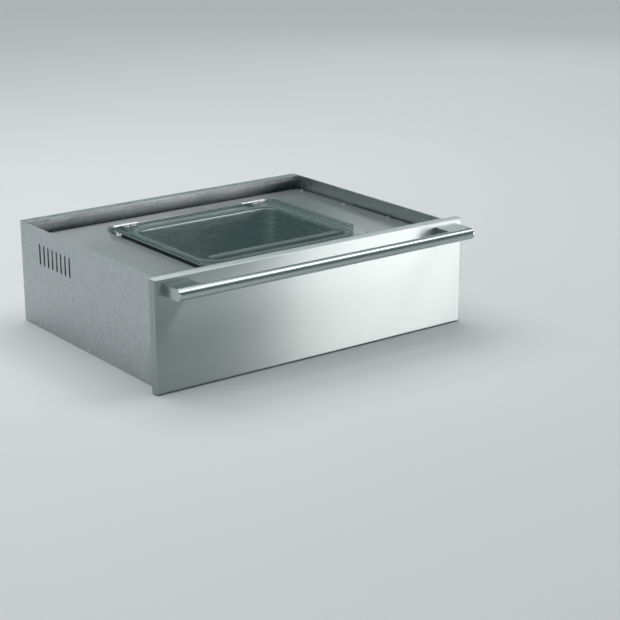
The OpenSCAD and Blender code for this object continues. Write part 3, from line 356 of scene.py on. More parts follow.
@cache
def moulded_skin():
    """The fine spark-eroded skin of moulded plastic and rubber."""
    group, taken, given = new_group("Moulded skin", {"Scale": 1400.0}, ("Height", "Sheen"))
    own = own_place(group)
    feed(group, given["Height"], noise(group, own, taken["Scale"], 3.0, 0.6))
    feed(group, given["Sheen"], remap(group, noise(group, own, 18.0, 3.0), 0.3, 0.7))
    return group


def shared(tree, effect, **sizes):
    """Places a shared effect in a material and gives its outputs by name."""
    return add_node(tree, "Group", sizes, node_tree=effect()).outputs


def mask(tree, effect, **sizes):
    """Where a shared effect shows, from 0 to 1."""
    return shared(tree, effect, **sizes)["Mask"]


# Materials


def brushed_steel(tree, tone, roughness, stretch, depth, anisotropy):
    """Brushed steel with its grain along the axis that stretch scales least."""
    grain = shared(tree, brushed_grain, Stretch=stretch)
    marks = mask(tree, handling_marks, Scale=7.0, Cover=0.35)
    lines = grain["Grain"]
    relief = depth * 0.12
    rough = add_share(tree, roughness, calc(tree, "SUBTRACT", lines, 0.5), relief)
    rough = add_share(tree, rough, grain["Patch"], 0.012)
    rough = add_share(tree, rough, marks, 0.07)
    along = [1.0 if scale == min(stretch) else 0.001 for scale in stretch]
    way = add_node(tree, "CombineXYZ", dict(enumerate(along))).outputs[0]
    return dict(Base_Color=mix(tree, lines, shaded(tone, 0.93), tone), Roughness=rough,
                Normal=bump(tree, lines, relief, 0.0001), Metallic=1.0, Tangent=way,
                Anisotropic=anisotropy, Anisotropic_Rotation=0.25)


def stainless_front(tree):
    """The front's long fine brushing."""
    own = settings().front
    return brushed_steel(tree, tuple(own.steel), own.roughness,
                         (5.0, 1500.0, 1500.0), own.grain, own.anisotropy)


def handle_steel(tree):
    """The bar's satin, along the tube."""
    own = settings().front
    return brushed_steel(tree, tuple(own.steel), own.handle_roughness,
                         (9.0, 1700.0, 1700.0), 0.4, 0.55)


def bracket_steel(tree):
    """The brackets' satin, from front to back."""
    own = settings().front
    return brushed_steel(tree, tuple(own.steel), own.handle_roughness,
                         (1500.0, 12.0, 1500.0), 0.4, 0.5)


def deck_steel(tree):
    """The deck's broader brushing."""
    return brushed_steel(tree, (0.60, 0.625, 0.625), 0.30,
                         (7.0, 1300.0, 1300.0), 0.5, 0.8)


def drawn_steel(tree):
    """The chamber's satin deep-drawn sheet: brushed round its walls and along its floor."""
    up = calc(tree, "ABSOLUTE", height_of(tree, surface_normal(tree)))
    level = remap(tree, up, 0.5, 0.8)
    wall = shared(tree, brushed_grain, Stretch=(14.0, 14.0, 760.0))
    floor = shared(tree, brushed_grain, Stretch=(9.0, 760.0, 60.0))
    grain = mix(tree, level, wall["Grain"], floor["Grain"])
    marks = mask(tree, handling_marks, Scale=12.0, Cover=0.5)
    return dict(Metallic=1.0, Normal=bump(tree, grain, 0.010, 0.0001),
                Base_Color=mix(tree, grain, (0.58, 0.60, 0.60), (0.60, 0.62, 0.62)),
                Roughness=add_share(tree, between(tree, grain, 0.25, 0.29), marks, 0.08))


def sheet_steel(tree):
    """Zinc-coated sheet with spangle, rubbed edges and a little dust."""
    own = settings().sheet
    zinc = tuple(own.zinc)
    rubbed = (0.70, 0.71, 0.72)
    dust = (0.42, 0.41, 0.39)
    spangle = shared(tree, zinc_spangle, Cells=1.0 / own.spangle)
    worn = mask(tree, edge_wear, Radius=0.0011, Amount=0.55)
    lying = mask(tree, settled_dust, Amount=own.dust)
    base = mix(tree, spangle["Shade"], shaded(zinc, 0.9), shaded(zinc, 1.08))
    base = mix(tree, worn, base, rubbed)
    rough = between(tree, spangle["Shade"], 0.38, 0.46)
    rough = add_share(tree, rough, calc(tree, "SUBTRACT", spangle["Feather"], 0.5), 0.10)
    return dict(Metallic=1.0, Base_Color=mix(tree, lying, base, dust),
                Roughness=add_share(tree, rough, lying, 0.6, clamp=True),
                Normal=bump(tree, spangle["Feather"], 0.05, 0.0002))


def plated_steel(tree, tone, low, high, scale):
    """Plated or polished steel with faint drawing lines and smears of grease."""
    rubbed = (0.78, 0.78, 0.78)
    grain = shared(tree, brushed_grain, Stretch=(scale, 4.0, scale), Patches=14.0)
    marks = mask(tree, handling_marks, Scale=24.0, Cover=0.7)
    worn = mask(tree, edge_wear, Radius=0.0006, Amount=0.5)
    base = mix(tree, grain["Patch"], shaded(tone, 0.9), tone)
    return dict(Metallic=1.0, Base_Color=mix(tree, worn, base, rubbed),
                Roughness=add_share(tree, between(tree, grain["Grain"], low, high), marks, 0.16),
                Normal=bump(tree, grain["Grain"], 0.03, 0.0001))


def slide_steel(tree):
    """The slides' bright zinc plating."""
    return plated_steel(tree, (0.62, 0.63, 0.66), 0.20, 0.30, 900.0)


def bright_steel(tree):
    """The polished steel of screws, rivets, balls and shaft."""
    return plated_steel(tree, (0.68, 0.68, 0.69), 0.14, 0.22, 1200.0)


def hinge_metal(tree):
    """Satin anodised aluminium."""
    rubbed = (0.80, 0.80, 0.80)
    blast = shared(tree, moulded_skin, Scale=2600.0)
    worn = mask(tree, edge_wear, Radius=0.0008, Amount=0.5)
    base = mix(tree, blast["Sheen"], (0.60, 0.61, 0.62), (0.66, 0.67, 0.68))
    return dict(Metallic=1.0, Base_Color=mix(tree, worn, base, rubbed),
                Roughness=between(tree, blast["Sheen"], 0.32, 0.42),
                Normal=bump(tree, blast["Height"], 0.12, 0.0001))


def pump_casting(tree):
    """Sand-cast aluminium, tumbled."""
    rubbed = (0.72, 0.72, 0.72)
    dust = (0.40, 0.38, 0.35)
    own = own_place(tree)
    grains = noise(tree, own, 900.0, 4.0, 0.7)
    pits = noise(tree, own, 160.0, 5.0, 0.7)
    worn = mask(tree, edge_wear, Radius=0.0015, Amount=0.6)
    lying = mask(tree, settled_dust, Amount=0.25)
    base = mix(tree, pits, (0.36, 0.37, 0.385), (0.52, 0.53, 0.545))
    base = mix(tree, worn, base, rubbed)
    return dict(Metallic=1.0, Base_Color=mix(tree, lying, base, dust),
                Roughness=remap(tree, grains, 0.3, 0.7, 0.42, 0.62),
                Normal=bump(tree, calc(tree, "ADD", grains, pits), 0.35, 0.0004))


def moulded(tree, dark, pale, low, high, height, rubbed, scale=1400.0, **more):
    """Moulded plastic or rubber, its roughness between low and high."""
    dust = (0.30, 0.29, 0.27)
    skin = shared(tree, moulded_skin, Scale=scale)
    worn = mask(tree, edge_wear, Radius=0.0008, Amount=0.35)
    lying = mask(tree, settled_dust, Amount=0.10, Scale=60.0)
    base = mix(tree, worn, mix(tree, skin["Sheen"], dark, pale), rubbed)
    return dict(Base_Color=mix(tree, lying, base, dust),
                Roughness=between(tree, skin["Sheen"], low, high),
                Normal=bump(tree, skin["Height"], height, 0.00015), **more)


def black_plastic(tree):
    """Black glass-filled nylon."""
    return moulded(tree, (0.018, 0.018, 0.020), (0.030, 0.030, 0.033),
                   0.42, 0.54, 0.30, (0.10, 0.10, 0.105))


def pale_plastic(tree):
    """The fan's grey-white plastic."""
    return moulded(tree, (0.62, 0.62, 0.58), (0.70, 0.70, 0.66),
                   0.38, 0.48, 0.15, (0.78, 0.78, 0.75))


def cage_plastic(tree):
    """The ball cages' natural nylon."""
    return moulded(tree, (0.66, 0.63, 0.53), (0.75, 0.72, 0.62),
                   0.35, 0.45, 0.15, (0.80, 0.78, 0.70))


def rubber(tree):
    """Matt black rubber."""
    return moulded(tree, (0.014, 0.014, 0.015), (0.026, 0.026, 0.027),
                   0.62, 0.78, 0.45, (0.07, 0.07, 0.07), 900.0)


def silicone(tree):
    """Grey silicone with a soft sheen."""
    return moulded(tree, (0.20, 0.21, 0.215), (0.25, 0.26, 0.265),
                   0.40, 0.52, 0.10, (0.32, 0.33, 0.335), 700.0,
                   Subsurface_Weight=0.15, Subsurface_Scale=0.002, Sheen_Weight=0.15)


def clear_glass(tree):
    """Tempered glass; lamps shine through it."""
    tint = tuple(settings().glass.tint)
    marks = mask(tree, handling_marks, Scale=13.0, Cover=0.5)
    glass = tree.nodes["Principled BSDF"].outputs[0]
    lets_through = add_node(tree, "BsdfTransparent", {"Color": tint}).outputs[0]
    lamp = add_node(tree, "LightPath").outputs["Is Shadow Ray"]
    both = add_node(tree, "MixShader", {0: lamp, 1: glass, 2: lets_through}).outputs[0]
    feed(tree, tree.nodes["Material Output"].inputs["Surface"], both)
    return dict(Base_Color=mix(tree, marks, tint, shaded(tint, 0.985)),
                Roughness=between(tree, marks, 0.0, 0.05), Transmission_Weight=1.0, IOR=1.5)


def control_glass(tree):
    """Black ceramic-printed glass with faint finger marks."""
    marks = mask(tree, handling_marks, Scale=30.0, Cover=0.8)
    lying = mask(tree, settled_dust, Amount=0.05, Scale=90.0)
    return dict(Roughness=between(tree, marks, 0.04, 0.20),
                Base_Color=mix(tree, lying, (0.008, 0.008, 0.009), (0.30, 0.29, 0.28)),
                Coat_Weight=0.6, Coat_Roughness=0.02)


def printed_marks(tree):
    """Pale ceramic print."""
    speck = noise(tree, own_place(tree), 2500.0, 2.0)
    return dict(Roughness=0.45,
                Base_Color=mix(tree, speck, (0.66, 0.69, 0.70), (0.78, 0.80, 0.80)))


def circuit_board(tree):
    """Lacquered green board; what stands on it is black or silver by its place."""
    own = own_place(tree)
    tracks = add_node(tree, "TexBrick", {
        "Vector": own, "Scale": 90.0, "Mortar Size": 0.03, "Mortar": (0.03, 0.20, 0.09),
        "Color1": (0.012, 0.10, 0.045), "Color2": (0.016, 0.13, 0.06),
    })
    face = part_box("power_board")[0].z + 12 * MM
    stands = remap(tree, height_of(tree, own), face - 0.2 * MM, face + 0.2 * MM)
    cells = add_node(tree, "TexVoronoi", {"Vector": own, "Scale": 32.0}).outputs["Color"]
    level = add_node(tree, "SeparateColor", {0: cells}).outputs[0]
    parts = mix(tree, calc(tree, "GREATER_THAN", level, 0.5), (0.03, 0.03, 0.035),
                (0.35, 0.36, 0.38))
    return dict(Base_Color=mix(tree, stands, tracks.outputs["Color"], parts),
                Roughness=between(tree, level, 0.25, 0.5),
                Normal=bump(tree, tracks.outputs[1], 0.3, 0.0001))


def winding(tree):
    """Enamelled copper under yellow tape."""
    low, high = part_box("transformer")
    centre = ((low + high) / 2).to_tuple()
    middle = add_node(tree, "VectorMath", {0: own_place(tree), 1: centre}, operation="SUBTRACT")
    turns = add_node(tree, "TexGradient", {"Vector": middle.outputs[0]}, gradient_type="RADIAL")
    bands = calc(tree, "PINGPONG", calc(tree, "MULTIPLY", turns.outputs[1], 90.0), 0.5)
    soft = remap(tree, bands, 0.0, 0.5)
    return dict(Roughness=between(tree, soft, 0.30, 0.42),
                Base_Color=mix(tree, soft, (0.42, 0.27, 0.04), (0.60, 0.42, 0.09)),
                Normal=bump(tree, soft, 0.6, 0.0006))


def heating_brass(tree):
    """The flat resistance band."""
    grain = shared(tree, brushed_grain, Stretch=(8.0, 1200.0, 1200.0))
    patch = grain["Patch"]
    return dict(Metallic=1.0, Roughness=between(tree, grain["Grain"], 0.24, 0.36),
                Base_Color=mix(tree, patch, (0.46, 0.31, 0.12), (0.62, 0.46, 0.20)))


def release_film(tree):
    """Brown glass-weave release film."""
    threads = {"Vector": own_place(tree), "Scale": 420.0}
    warp = add_node(tree, "TexWave", threads, bands_direction="X").outputs[1]
    weft = add_node(tree, "TexWave", threads, bands_direction="Y").outputs[1]
    weave = calc(tree, "MULTIPLY", warp, weft)
    return dict(Roughness=between(tree, weave, 0.28, 0.44),
                Base_Color=mix(tree, weave, (0.20, 0.12, 0.06), (0.34, 0.22, 0.12)),
                Normal=bump(tree, weave, 0.3, 0.0001))


@cache
def finish_of(maker):
    """The material named after maker, whose sockets hold what maker returns, made once."""
    name = maker.__name__
    namesake = bpy.data.materials.get(name)
    if namesake:
        namesake.name = name + "_cad"
    made = bpy.data.materials.new(name)
    made.use_nodes = True
    tree = made.node_tree
    sockets = tree.nodes["Principled BSDF"].inputs
    for socket, value in maker(tree).items():
        feed(tree, sockets[socket.replace("_", " ")], value)
    return made


# Pieces


def dress(node, maker, edge=0.0):
    """Gives a CAD node its material and, with edge, rounds its sharp edges."""
    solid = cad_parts[node]
    for holder in solid.material_slots:
        holder.material = finish_of(maker)
    if edge:
        solid.data.shade_smooth()
        weld = solid.modifiers.new("joined", "WELD")
        weld.merge_threshold = 0.01 * MM
        flat = solid.modifiers.new("flat_faces", "DECIMATE")
        flat.decimate_type = "DISSOLVE"
        flat.angle_limit = math.radians(0.5)
        bevel = solid.modifiers.new("rounded_edges", "BEVEL")
        bevel.width = edge
        bevel.segments = 2
        bevel.limit_method = "ANGLE"
        bevel.angle_limit = math.radians(40)
        even = solid.modifiers.new("even_shading", "WEIGHTED_NORMAL")
        even.mode = "FACE_AREA"


def object_of(name, mesh, maker):
    """Turns a bmesh into an object with one finish."""
    data = bpy.data.meshes.new(name)
    mesh.to_mesh(data)
    mesh.free()
    data.materials.append(finish_of(maker))
    made = bpy.data.objects.new(name, data)
    bpy.context.scene.collection.objects.link(made)
    return made


def add_piece(name, mesh, maker, body, replaced=(), sharp=35):
    """Turns a bmesh into a piece that rides on a body; edges over sharp degrees stay crisp."""
    bmesh.ops.recalc_face_normals(mesh, faces=mesh.faces[:])
    piece = object_of(name, mesh, maker)
    piece.data.shade_smooth()
    piece.data.set_sharp_from_angle(angle=math.radians(sharp))
    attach(piece, body)
    if replaced:
        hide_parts(*replaced)


def add_rings(mesh, rings, looped=False):
    """Joins rings of points into a skin; open ends are closed by flat faces."""
    rows = [[mesh.verts.new(point) for point in ring] for ring in rings]
    count = len(rows[0])
    pairs = list(zip(rows, rows[1:]))
    if looped:
        pairs.append((rows[-1], rows[0]))
    for low, high in pairs:
        for k in range(count):
            after = (k + 1) % count
            mesh.faces.new((low[k], low[after], high[after], high[k]))
    if not looped:
        mesh.faces.new(rows[0])
        mesh.faces.new(rows[-1])


def round_rect(width, depth, radius, steps):
    """Points round a rectangle with round corners."""
    points = []
    for sx, sy, start in ((1, 1, 0), (-1, 1, 90), (-1, -1, 180), (1, -1, 270)):
        for k in range(steps + 1):
            angle = math.radians(start + 90 * k / steps)
            points.append((sx * (width / 2 - radius) + radius * math.cos(angle),
                           sy * (depth / 2 - radius) + radius * math.sin(angle)))
    return points


def arc(centre, radius, start, end, steps):
    """Points on an arc in a profile, its angles in degrees."""
    angles = [math.radians(start + (end - start) * k / steps) for k in range(steps + 1)]
    return [(centre[0] + radius * math.cos(a), centre[1] + radius * math.sin(a)) for a in angles]


def turned(profile, steps, centre, facing, ripple=None):
    """Rings for a turned shape: profile holds (radius, height), facing is its axis."""
    spin = Vector(facing).to_track_quat("Z", "Y").to_matrix()
    rings = []
    for radius, height in profile:
        ring = []
        for k in range(steps):
            angle = 2 * math.pi * k / steps
            reach = ripple(radius, height, angle) if ripple else radius
            point = Vector((reach * math.cos(angle), reach * math.sin(angle), height))
            ring.append(Vector(centre) + spin @ point)
        rings.append(ring)
    return rings


def solids_of(node):
    """The corner points of each separate solid in a CAD node, from left to right."""
    mesh = bmesh.new()
    mesh.from_mesh(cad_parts[node].data)
    same_place = 0.001 * MM
    bmesh.ops.remove_doubles(mesh, verts=mesh.verts[:], dist=same_place)
    unseen = set(mesh.verts)
    found = []
    for first in mesh.verts:
        if first not in unseen:
            continue
        unseen.discard(first)
        reached = [first]
        for vert in reached:
            for edge in vert.link_edges:
                other = edge.other_vert(vert)
                if other in unseen:
                    unseen.discard(other)
                    reached.append(other)
        found.append([vert.co.copy() for vert in reached])
    mesh.free()
    return sorted(found, key=lambda solid: box_of(solid)[0].to_tuple())


def remake_solids(node, name, add_one, body):
    """Builds a finer form, in bright steel, in the place of each solid of a CAD node."""
    mesh = bmesh.new()
    for solid in solids_of(node):
        add_one(mesh, solid)
    add_piece(name, mesh, bright_steel, body, (node,))


def box_of(points):
    """The low and high corners of the box round some points."""
    return (Vector([min(p[i] for p in points) for i in range(3)]),
            Vector([max(p[i] for p in points) for i in range(3)]))


# Stage


def look_from(place, turn):
    """The camera's matrix from its place and its pitch, yaw and roll."""
    pitch, yaw, roll = turn
    return (Matrix.Translation(place) @ Matrix.Rotation(yaw, 4, "Z")
            @ Matrix.Rotation(math.pi / 2 + pitch, 4, "X") @ Matrix.Rotation(roll, 4, "Z"))


def add_camera(studio):
    """The camera at the photograph's angle."""
    lens = bpy.data.cameras.new("camera")
    lens.sensor_width = 36.0
    lens.lens = studio.lens
    lens.clip_end = 60.0
    camera = bpy.data.objects.new("camera", lens)
    camera.matrix_world = look_from(tuple(studio.place), tuple(studio.turn))
    bpy.context.scene.collection.objects.link(camera)
    bpy.context.scene.camera = camera


def add_lamp(name, kind, strength, shines_along):
    """A lamp that shines along a direction."""
    lamp = bpy.data.lights.new(name, kind)
    lamp.energy = strength
    holder = bpy.data.objects.new(name, lamp)
    holder.rotation_euler = Vector(shines_along).to_track_quat("-Z", "Y").to_euler()
    bpy.context.scene.collection.objects.link(holder)
    return holder


def add_softbox(name, place, target, size, watts, tone=(1.0, 1.0, 1.0), spread=180):
    """A soft lamp that the camera doesn't see, also not through glass; spread is in degrees."""
    holder = add_lamp(name, "AREA", watts, Vector(target) - Vector(place))
    holder.location = place
    holder.visible_camera = False
    holder.visible_transmission = False
    holder.data.shape = "RECTANGLE"
    holder.data.size, holder.data.size_y = size
    holder.data.color = tone
    holder.data.spread = math.radians(spread)
    return holder


def keep_off(lamp, objects):
    """Keeps a lamp's light off some objects, which cast no shadow in it either."""
    unlit = bpy.data.collections.new(lamp.name + "_unlit")
    for unlit_object in objects:
        unlit.objects.link(unlit_object)
    for entry in unlit.collection_objects:
        entry.light_linking.link_state = "EXCLUDE"
    lamp.light_linking.receiver_collection = unlit
    lamp.light_linking.blocker_collection = unlit


def add_key_light(studio):
    """A broad far light, placed where the round bar mirrors it along its upper side."""
    holder = add_lamp("key_light", "SUN", studio.key, (-0.569, 0.244, -0.785))
    holder.data.angle = studio.key_angle


def add_air(studio):
    """A dim room: pale near the floor, dark above it, and paler overhead."""
    world = bpy.data.worlds.new("studio_air")
    world.use_nodes = True
    tree = world.node_tree
    height = height_of(tree, add_node(tree, "TexCoord").outputs["Generated"])
    ramp = add_node(tree, "ValToRGB", {0: remap(tree, height, -0.2, 1.0)})
    air, haze, skylight = tuple(studio.air), tuple(studio.haze), tuple(studio.skylight)
    stops = ((0.0, haze), (0.17, haze), (0.24, air), (0.74, air), (0.86, skylight))
    marks = ramp.color_ramp.elements
    while len(marks) < len(stops):
        marks.new(0.5)
    for mark, (place, tone) in zip(marks, stops):
        mark.position = place
        mark.color = (*tone, 1.0)
    feed(tree, tree.nodes["Background"].inputs["Color"], ramp.outputs["Color"])
    bpy.context.scene.world = world


def floor_paint(tree):
    """Matt pale paint, a little uneven."""
    tone = tuple(settings().studio.floor)
    cloud = noise(tree, own_place(tree), 0.8, 4.0, 0.5)
    return dict(Base_Color=mix(tree, cloud, shaded(tone, 0.96), tone), Roughness=0.95,
                Specular_IOR_Level=0.05)


def add_floor():
    """A wide round floor just under the drawer."""
    far = 24.0
    gap = 0.2 * MM
    mesh = bmesh.new()
    bmesh.ops.create_circle(mesh, cap_ends=True, segments=96, radius=far)
    floor = object_of("floor", mesh, floor_paint)
    floor.location.z = CAD_BOX[0].z - gap
    return floor


class PieceOperator:
    """What every operator of this file shares; each says in build what it adds or finishes."""
    bl_options = {"REGISTER", "UNDO"}

    def execute(self, context):
        self.build()
        return {"FINISHED"}


class DRAWER_OT_studio(PieceOperator, bpy.types.Operator):
    """Adds the camera, the pale floor and the soft lights"""
    bl_idname = "drawer.studio"
    bl_label = "Studio"

    def build(self):
        studio = settings().studio
        bpy.context.scene.view_settings.view_transform = "Standard"
        add_camera(studio)
        floor = add_floor()
        add_air(studio)
        add_key_light(studio)
        add_softbox("overhead_softbox", place=(0.0, 1.3, 2.7), target=(0.0, 0.2, 0.0),
                    size=(3.0, 1.8), watts=studio.overhead)
        add_softbox("rear_softbox", place=(3.1, 2.35, 1.5), target=(0.2, -0.3, 0.2),
                    size=(1.5, 1.4), watts=studio.rear)
        add_softbox("fill_softbox", place=(-3.0, 0.6, 1.7), target=(0.0, 0.0, 0.1),
                    size=(1.8, 1.6), watts=studio.fill)
        side = add_softbox("side_softbox", place=(1.20, -1.61, 0.34), target=(0.0, -0.3, 0.34),
                           size=(0.64, 0.66), watts=studio.side, tone=(1.0, 0.925, 0.92),
                           spread=100)
        keep_off(side, (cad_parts["handle_tube"], floor))


# Front and handle


class DRAWER_OT_front(PieceOperator, bpy.types.Operator):
    """Finishes the brushed front panel and the sheet behind it"""
    bl_idname = "drawer.front"
    bl_label = "Front Panel"

    def build(self):
        dress("front_skin", stainless_front, settings().front.edge)
        for node in ("front_backplate", "front_stiffener", "front_adjusters"):
            dress(node, sheet_steel, settings().sheet.fold)


class DRAWER_OT_handle(PieceOperator, bpy.types.Operator):
    """Finishes the satin bar, its end caps, its brackets and their screws"""
    bl_idname = "drawer.handle"
    bl_label = "Handle"

    def build(self):
        edge = settings().front.bracket_edge
        dress("handle_tube", handle_steel, edge / 4)
        dress("handle_plugs", bracket_steel, edge / 2)
        for side in ("left", "right"):
            dress("handle_bracket_" + side, bracket_steel, edge)
        dress("handle_screws", bright_steel)


# Housing


class DRAWER_OT_housing(PieceOperator, bpy.types.Operator):
    """Finishes the zinc-coated housing, its terminal box and its bumpers"""
    bl_idname = "drawer.housing"
    bl_label = "Housing"

    def build(self):
        fold = settings().sheet.fold
        for node in ("base_tray", "side_plate_left", "side_plate_right", "back_plate",
                     "front_tie_rail", "rear_tie_rail"):
            dress(node, sheet_steel, fold)
        dress("terminal_box", black_plastic, fold)
        dress("gland_nut", black_plastic, fold)
        dress("rear_bumpers", rubber, fold)


def add_rivet(mesh, solid):
    """A blind rivet with a domed head and a sunk mandrel, in the space of a CAD rivet."""
    low, high = box_of(solid)
    size = high - low
    axis = min(range(3), key=lambda i: size[i])
    outward = (low + high)[axis] > 0
    facing = [0.0, 0.0, 0.0]
    facing[axis] = 1.0 if outward else -1.0
    inner_end = (low + high) / 2
    inner_end[axis] = low[axis] if outward else high[axis]
    total = size[axis]
    seat = total - 1.2 * MM
    head = max(size) / 2
    shank = head * 0.5
    dome = head * 0.38
    # From the inner end outwards: the shank, the head's underside and its dome.
    profile = [(head * 0.42, 0.0), (shank, 0.2 * MM), (shank, seat), (head * 0.97, seat),
               (head, seat + 0.15 * MM)]
    profile += arc((head - dome, total - dome - 0.02 * MM), dome, 10, 90, 5)
    # The well in the head, with the mandrel's broken end at its bottom.
    profile += [(head * 0.40, total), (head * 0.34, total - 0.1 * MM),
                (head * 0.31, total - 0.55 * MM), (head * 0.12, total - 0.4 * MM)]
    profile = [(radius, min(max(height, 0.0), total)) for radius, height in profile]
    add_rings(mesh, turned(profile, 20, inner_end, facing))


class DRAWER_OT_rivets(PieceOperator, bpy.types.Operator):
    """Models the blind rivets with domed heads and sunk mandrels"""
    bl_idname = "drawer.rivets"
    bl_label = "Rivets"

    def build(self):
        remake_solids("housing_rivets", "rivets", add_rivet, "housing")


class DRAWER_OT_cable_gland(PieceOperator, bpy.types.Operator):
    """Models the mains gland: hexagon body, ribbed dome nut and rubber insert"""
    bl_idname = "drawer.cable_gland"
    bl_label = "Cable Gland"

    def build(self):
        low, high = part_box("mains_gland")
        middle = (low + high) / 2
        start = Vector((middle.x, low.y, middle.z))
        total = high.y - low.y
        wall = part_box("back_plate")[1].y - low.y
        corner = (high.x - low.x) / 2
        bore = 3.5 * MM
        thread, pitch, rib = 8.0 * MM, 0.75 * MM, 0.35 * MM
        hexagon, neck, nut, dome = 12.0, 9.2, 9.8, 3.2

        def outline(radius, height, angle):
            """A hexagon at the body, fine ribs on the dome nut, round elsewhere."""
            if wall + 0.2 * MM < height < wall + 6 * MM and radius > 11 * MM:
                turn = (angle % (math.pi / 3)) - math.pi / 6
                return min(radius, corner * math.cos(math.pi / 6) / math.cos(turn))
            if wall + 7 * MM < height < wall + 15 * MM and radius > 9 * MM:
                return radius - rib * (0.5 + 0.5 * math.cos(20 * angle))
            return radius

        # The thread in the wall, with a crest and a root in turn.
        outer = [(7.2 * MM, 0.0)]
        outer += [(thread - (rib if k % 2 else 0.0), 0.6 * MM + k * pitch) for k in range(14)]
        outer += [(thread, wall)]
        # What stands outside the wall: the hexagon, the neck and the dome nut, in millimetres.
        outside = [(hexagon - 0.6, 0.01), (hexagon, 0.7), (hexagon, 5.3), (hexagon - 0.8, 5.99),
                   (neck, 6.0), (neck, 6.8), (nut - 0.3, 7.1), (nut, 7.6), (nut, 14.2)]
        outside += arc((nut - dome, 14.4), dome, 0, 62, 6)
        outer += [(radius * MM, wall + height * MM) for radius, height in outside]
        outer += [(7.6 * MM, total - 2.0 * MM), (7.2 * MM, total - 0.4 * MM), (6.8 * MM, total)]
        inner = [(6.2 * MM, total), (5.9 * MM, total - 0.5 * MM), (5.9 * MM, total - 8 * MM),
                 (5.6 * MM, 1.0 * MM), (6.2 * MM, 0.0)]
        body = bmesh.new()
        add_rings(body, turned(outer + inner, 120, start, (0, 1, 0), outline), looped=True)
        add_piece("cable_gland", body, black_plastic, "housing",
                  ("mains_gland",), 30)
        insert = [(5.8 * MM, total - 1.6 * MM), (5.8 * MM, 2 * MM), (bore, 2 * MM),
                  (bore, total - 1.8 * MM), (bore + 0.5 * MM, total - 1.0 * MM),
                  (5.2 * MM, total - 1.0 * MM)]
        sleeve = bmesh.new()
        add_rings(sleeve, turned(insert, 48, start, (0, 1, 0)), looped=True)
        add_piece("gland_insert", sleeve, rubber, "housing")


# Slides, tub and deck


class DRAWER_OT_slides(PieceOperator, bpy.types.Operator):
    """Finishes the ball slides"""
    bl_idname = "drawer.slides"
    bl_label = "Slides"

    def build(self):
        for member in ("outer", "mid", "inner"):
            for side in ("left", "right"):
                dress(f"slide_{member}_{side}", slide_steel, 0.15 * MM)
        for row in ("outer", "inner"):
            dress("ball_cages_" + row, cage_plastic)
            dress("balls_" + row, bright_steel)


class DRAWER_OT_tub(PieceOperator, bpy.types.Operator):
    """Finishes the drawer's tub, its screws and the brushed deck"""
    bl_idname = "drawer.tub"
    bl_label = "Tub and Deck"

    def build(self):
        dress("drawer_tub", sheet_steel, settings().sheet.fold)
        dress("deck", deck_steel, settings().sheet.fold)
        dress("tub_screws", bright_steel)


def add_screw(mesh, solid):
    """A pan-head screw with a six-lobed recess, in the space of an upright CAD screw."""
    low, high = box_of(solid)
    head = (high.x - low.x) / 2
    shank = 2.0 * MM
    recess = min(head * 0.52, 2.4 * MM)
    start = Vector(((low.x + high.x) / 2, (low.y + high.y) / 2, low.z))
    rim = [p.z for p in solid if (p - (low + high) / 2).xy.length > head * 0.97]
    total = high.z - low.z
    seat = min(rim) - low.z
    tall = total - seat

    def lobes(radius, height, angle):
        """Six lobes in the recess, round elsewhere."""
        inside = radius <= recess * 1.001 and height > seat
        return radius * (1 + 0.16 * math.cos(6 * angle)) if inside else radius

    # From the tip upwards: the shank, the head's domed side, and the recess down to its floor.
    profile = [(shank * 0.8, 0.0), (shank, 0.3 * MM), (shank, seat), (head * 0.96, seat),
               (head, seat + 0.12 * MM), (head, seat + tall * 0.45),
               (head * 0.95, seat + tall * 0.74), (head * 0.84, seat + tall * 0.93),
               (head * 0.68, total), (recess, total - 0.02 * MM),
               (recess * 0.96, total - tall * 0.12), (recess * 0.94, total - tall * 0.6),
               (recess * 0.3, total - tall * 0.66)]
    add_rings(mesh, turned(profile, 36, start, (0, 0, 1), lobes))


class DRAWER_OT_deck_screws(PieceOperator, bpy.types.Operator):
    """Models the deck's screws"""
    bl_idname = "drawer.deck_screws"
    bl_label = "Deck Screws"

    def build(self):
        remake_solids("deck_screws", "deck_pan_screws", add_screw, "drawer")


# Chamber


def chamber_ring(offset, height):
    """A ring round the chamber's mouth, offset outwards by a distance."""
    own = settings().chamber
    low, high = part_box("chamber")
    middle = (low + high) / 2
    outline = round_rect(high.x - low.x - 2 * (own.rim - offset),
                         high.y - low.y - 2 * (own.rim - offset),
                         own.corner + offset, settings().rim_steps)
    return [(middle.x + x, middle.y + y, height) for x, y in outline]


class DRAWER_OT_chamber(PieceOperator, bpy.types.Operator):
    """Models the deep-drawn chamber with its rolled mouth and rounded floor"""
    bl_idname = "drawer.chamber"
    bl_label = "Chamber"

    def build(self):
        own = settings().chamber
        low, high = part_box("chamber")
        rim, wall, fillet, mouth = own.rim, own.wall, own.fillet, own.mouth
        top, under, floor = high.z, low.z, low.z + wall
        flat = -fillet - 4 * MM
        edge = 0.6 * MM
        profile = [(flat, floor)]
        profile += arc((-fillet, floor + fillet), fillet, -90, 0, 8)
        profile += arc((mouth, top - mouth), mouth, 180, 90, 6)
        profile += arc((rim - edge, top - edge), edge, 90, 0, 3)
        profile += [(rim, top - wall + 0.2 * MM), (rim - 0.3 * MM, top - wall),
                    (wall + 1 * MM, top - wall), (wall, top - wall - 1 * MM)]
        profile += arc((-fillet, under + fillet + wall), fillet + wall, 0, -90, 8)
        profile += [(flat, under)]
        mesh = bmesh.new()
        add_rings(mesh, [chamber_ring(*point) for point in profile])
        add_piece("chamber_pan", mesh, drawn_steel, "drawer", ("chamber",), 25)


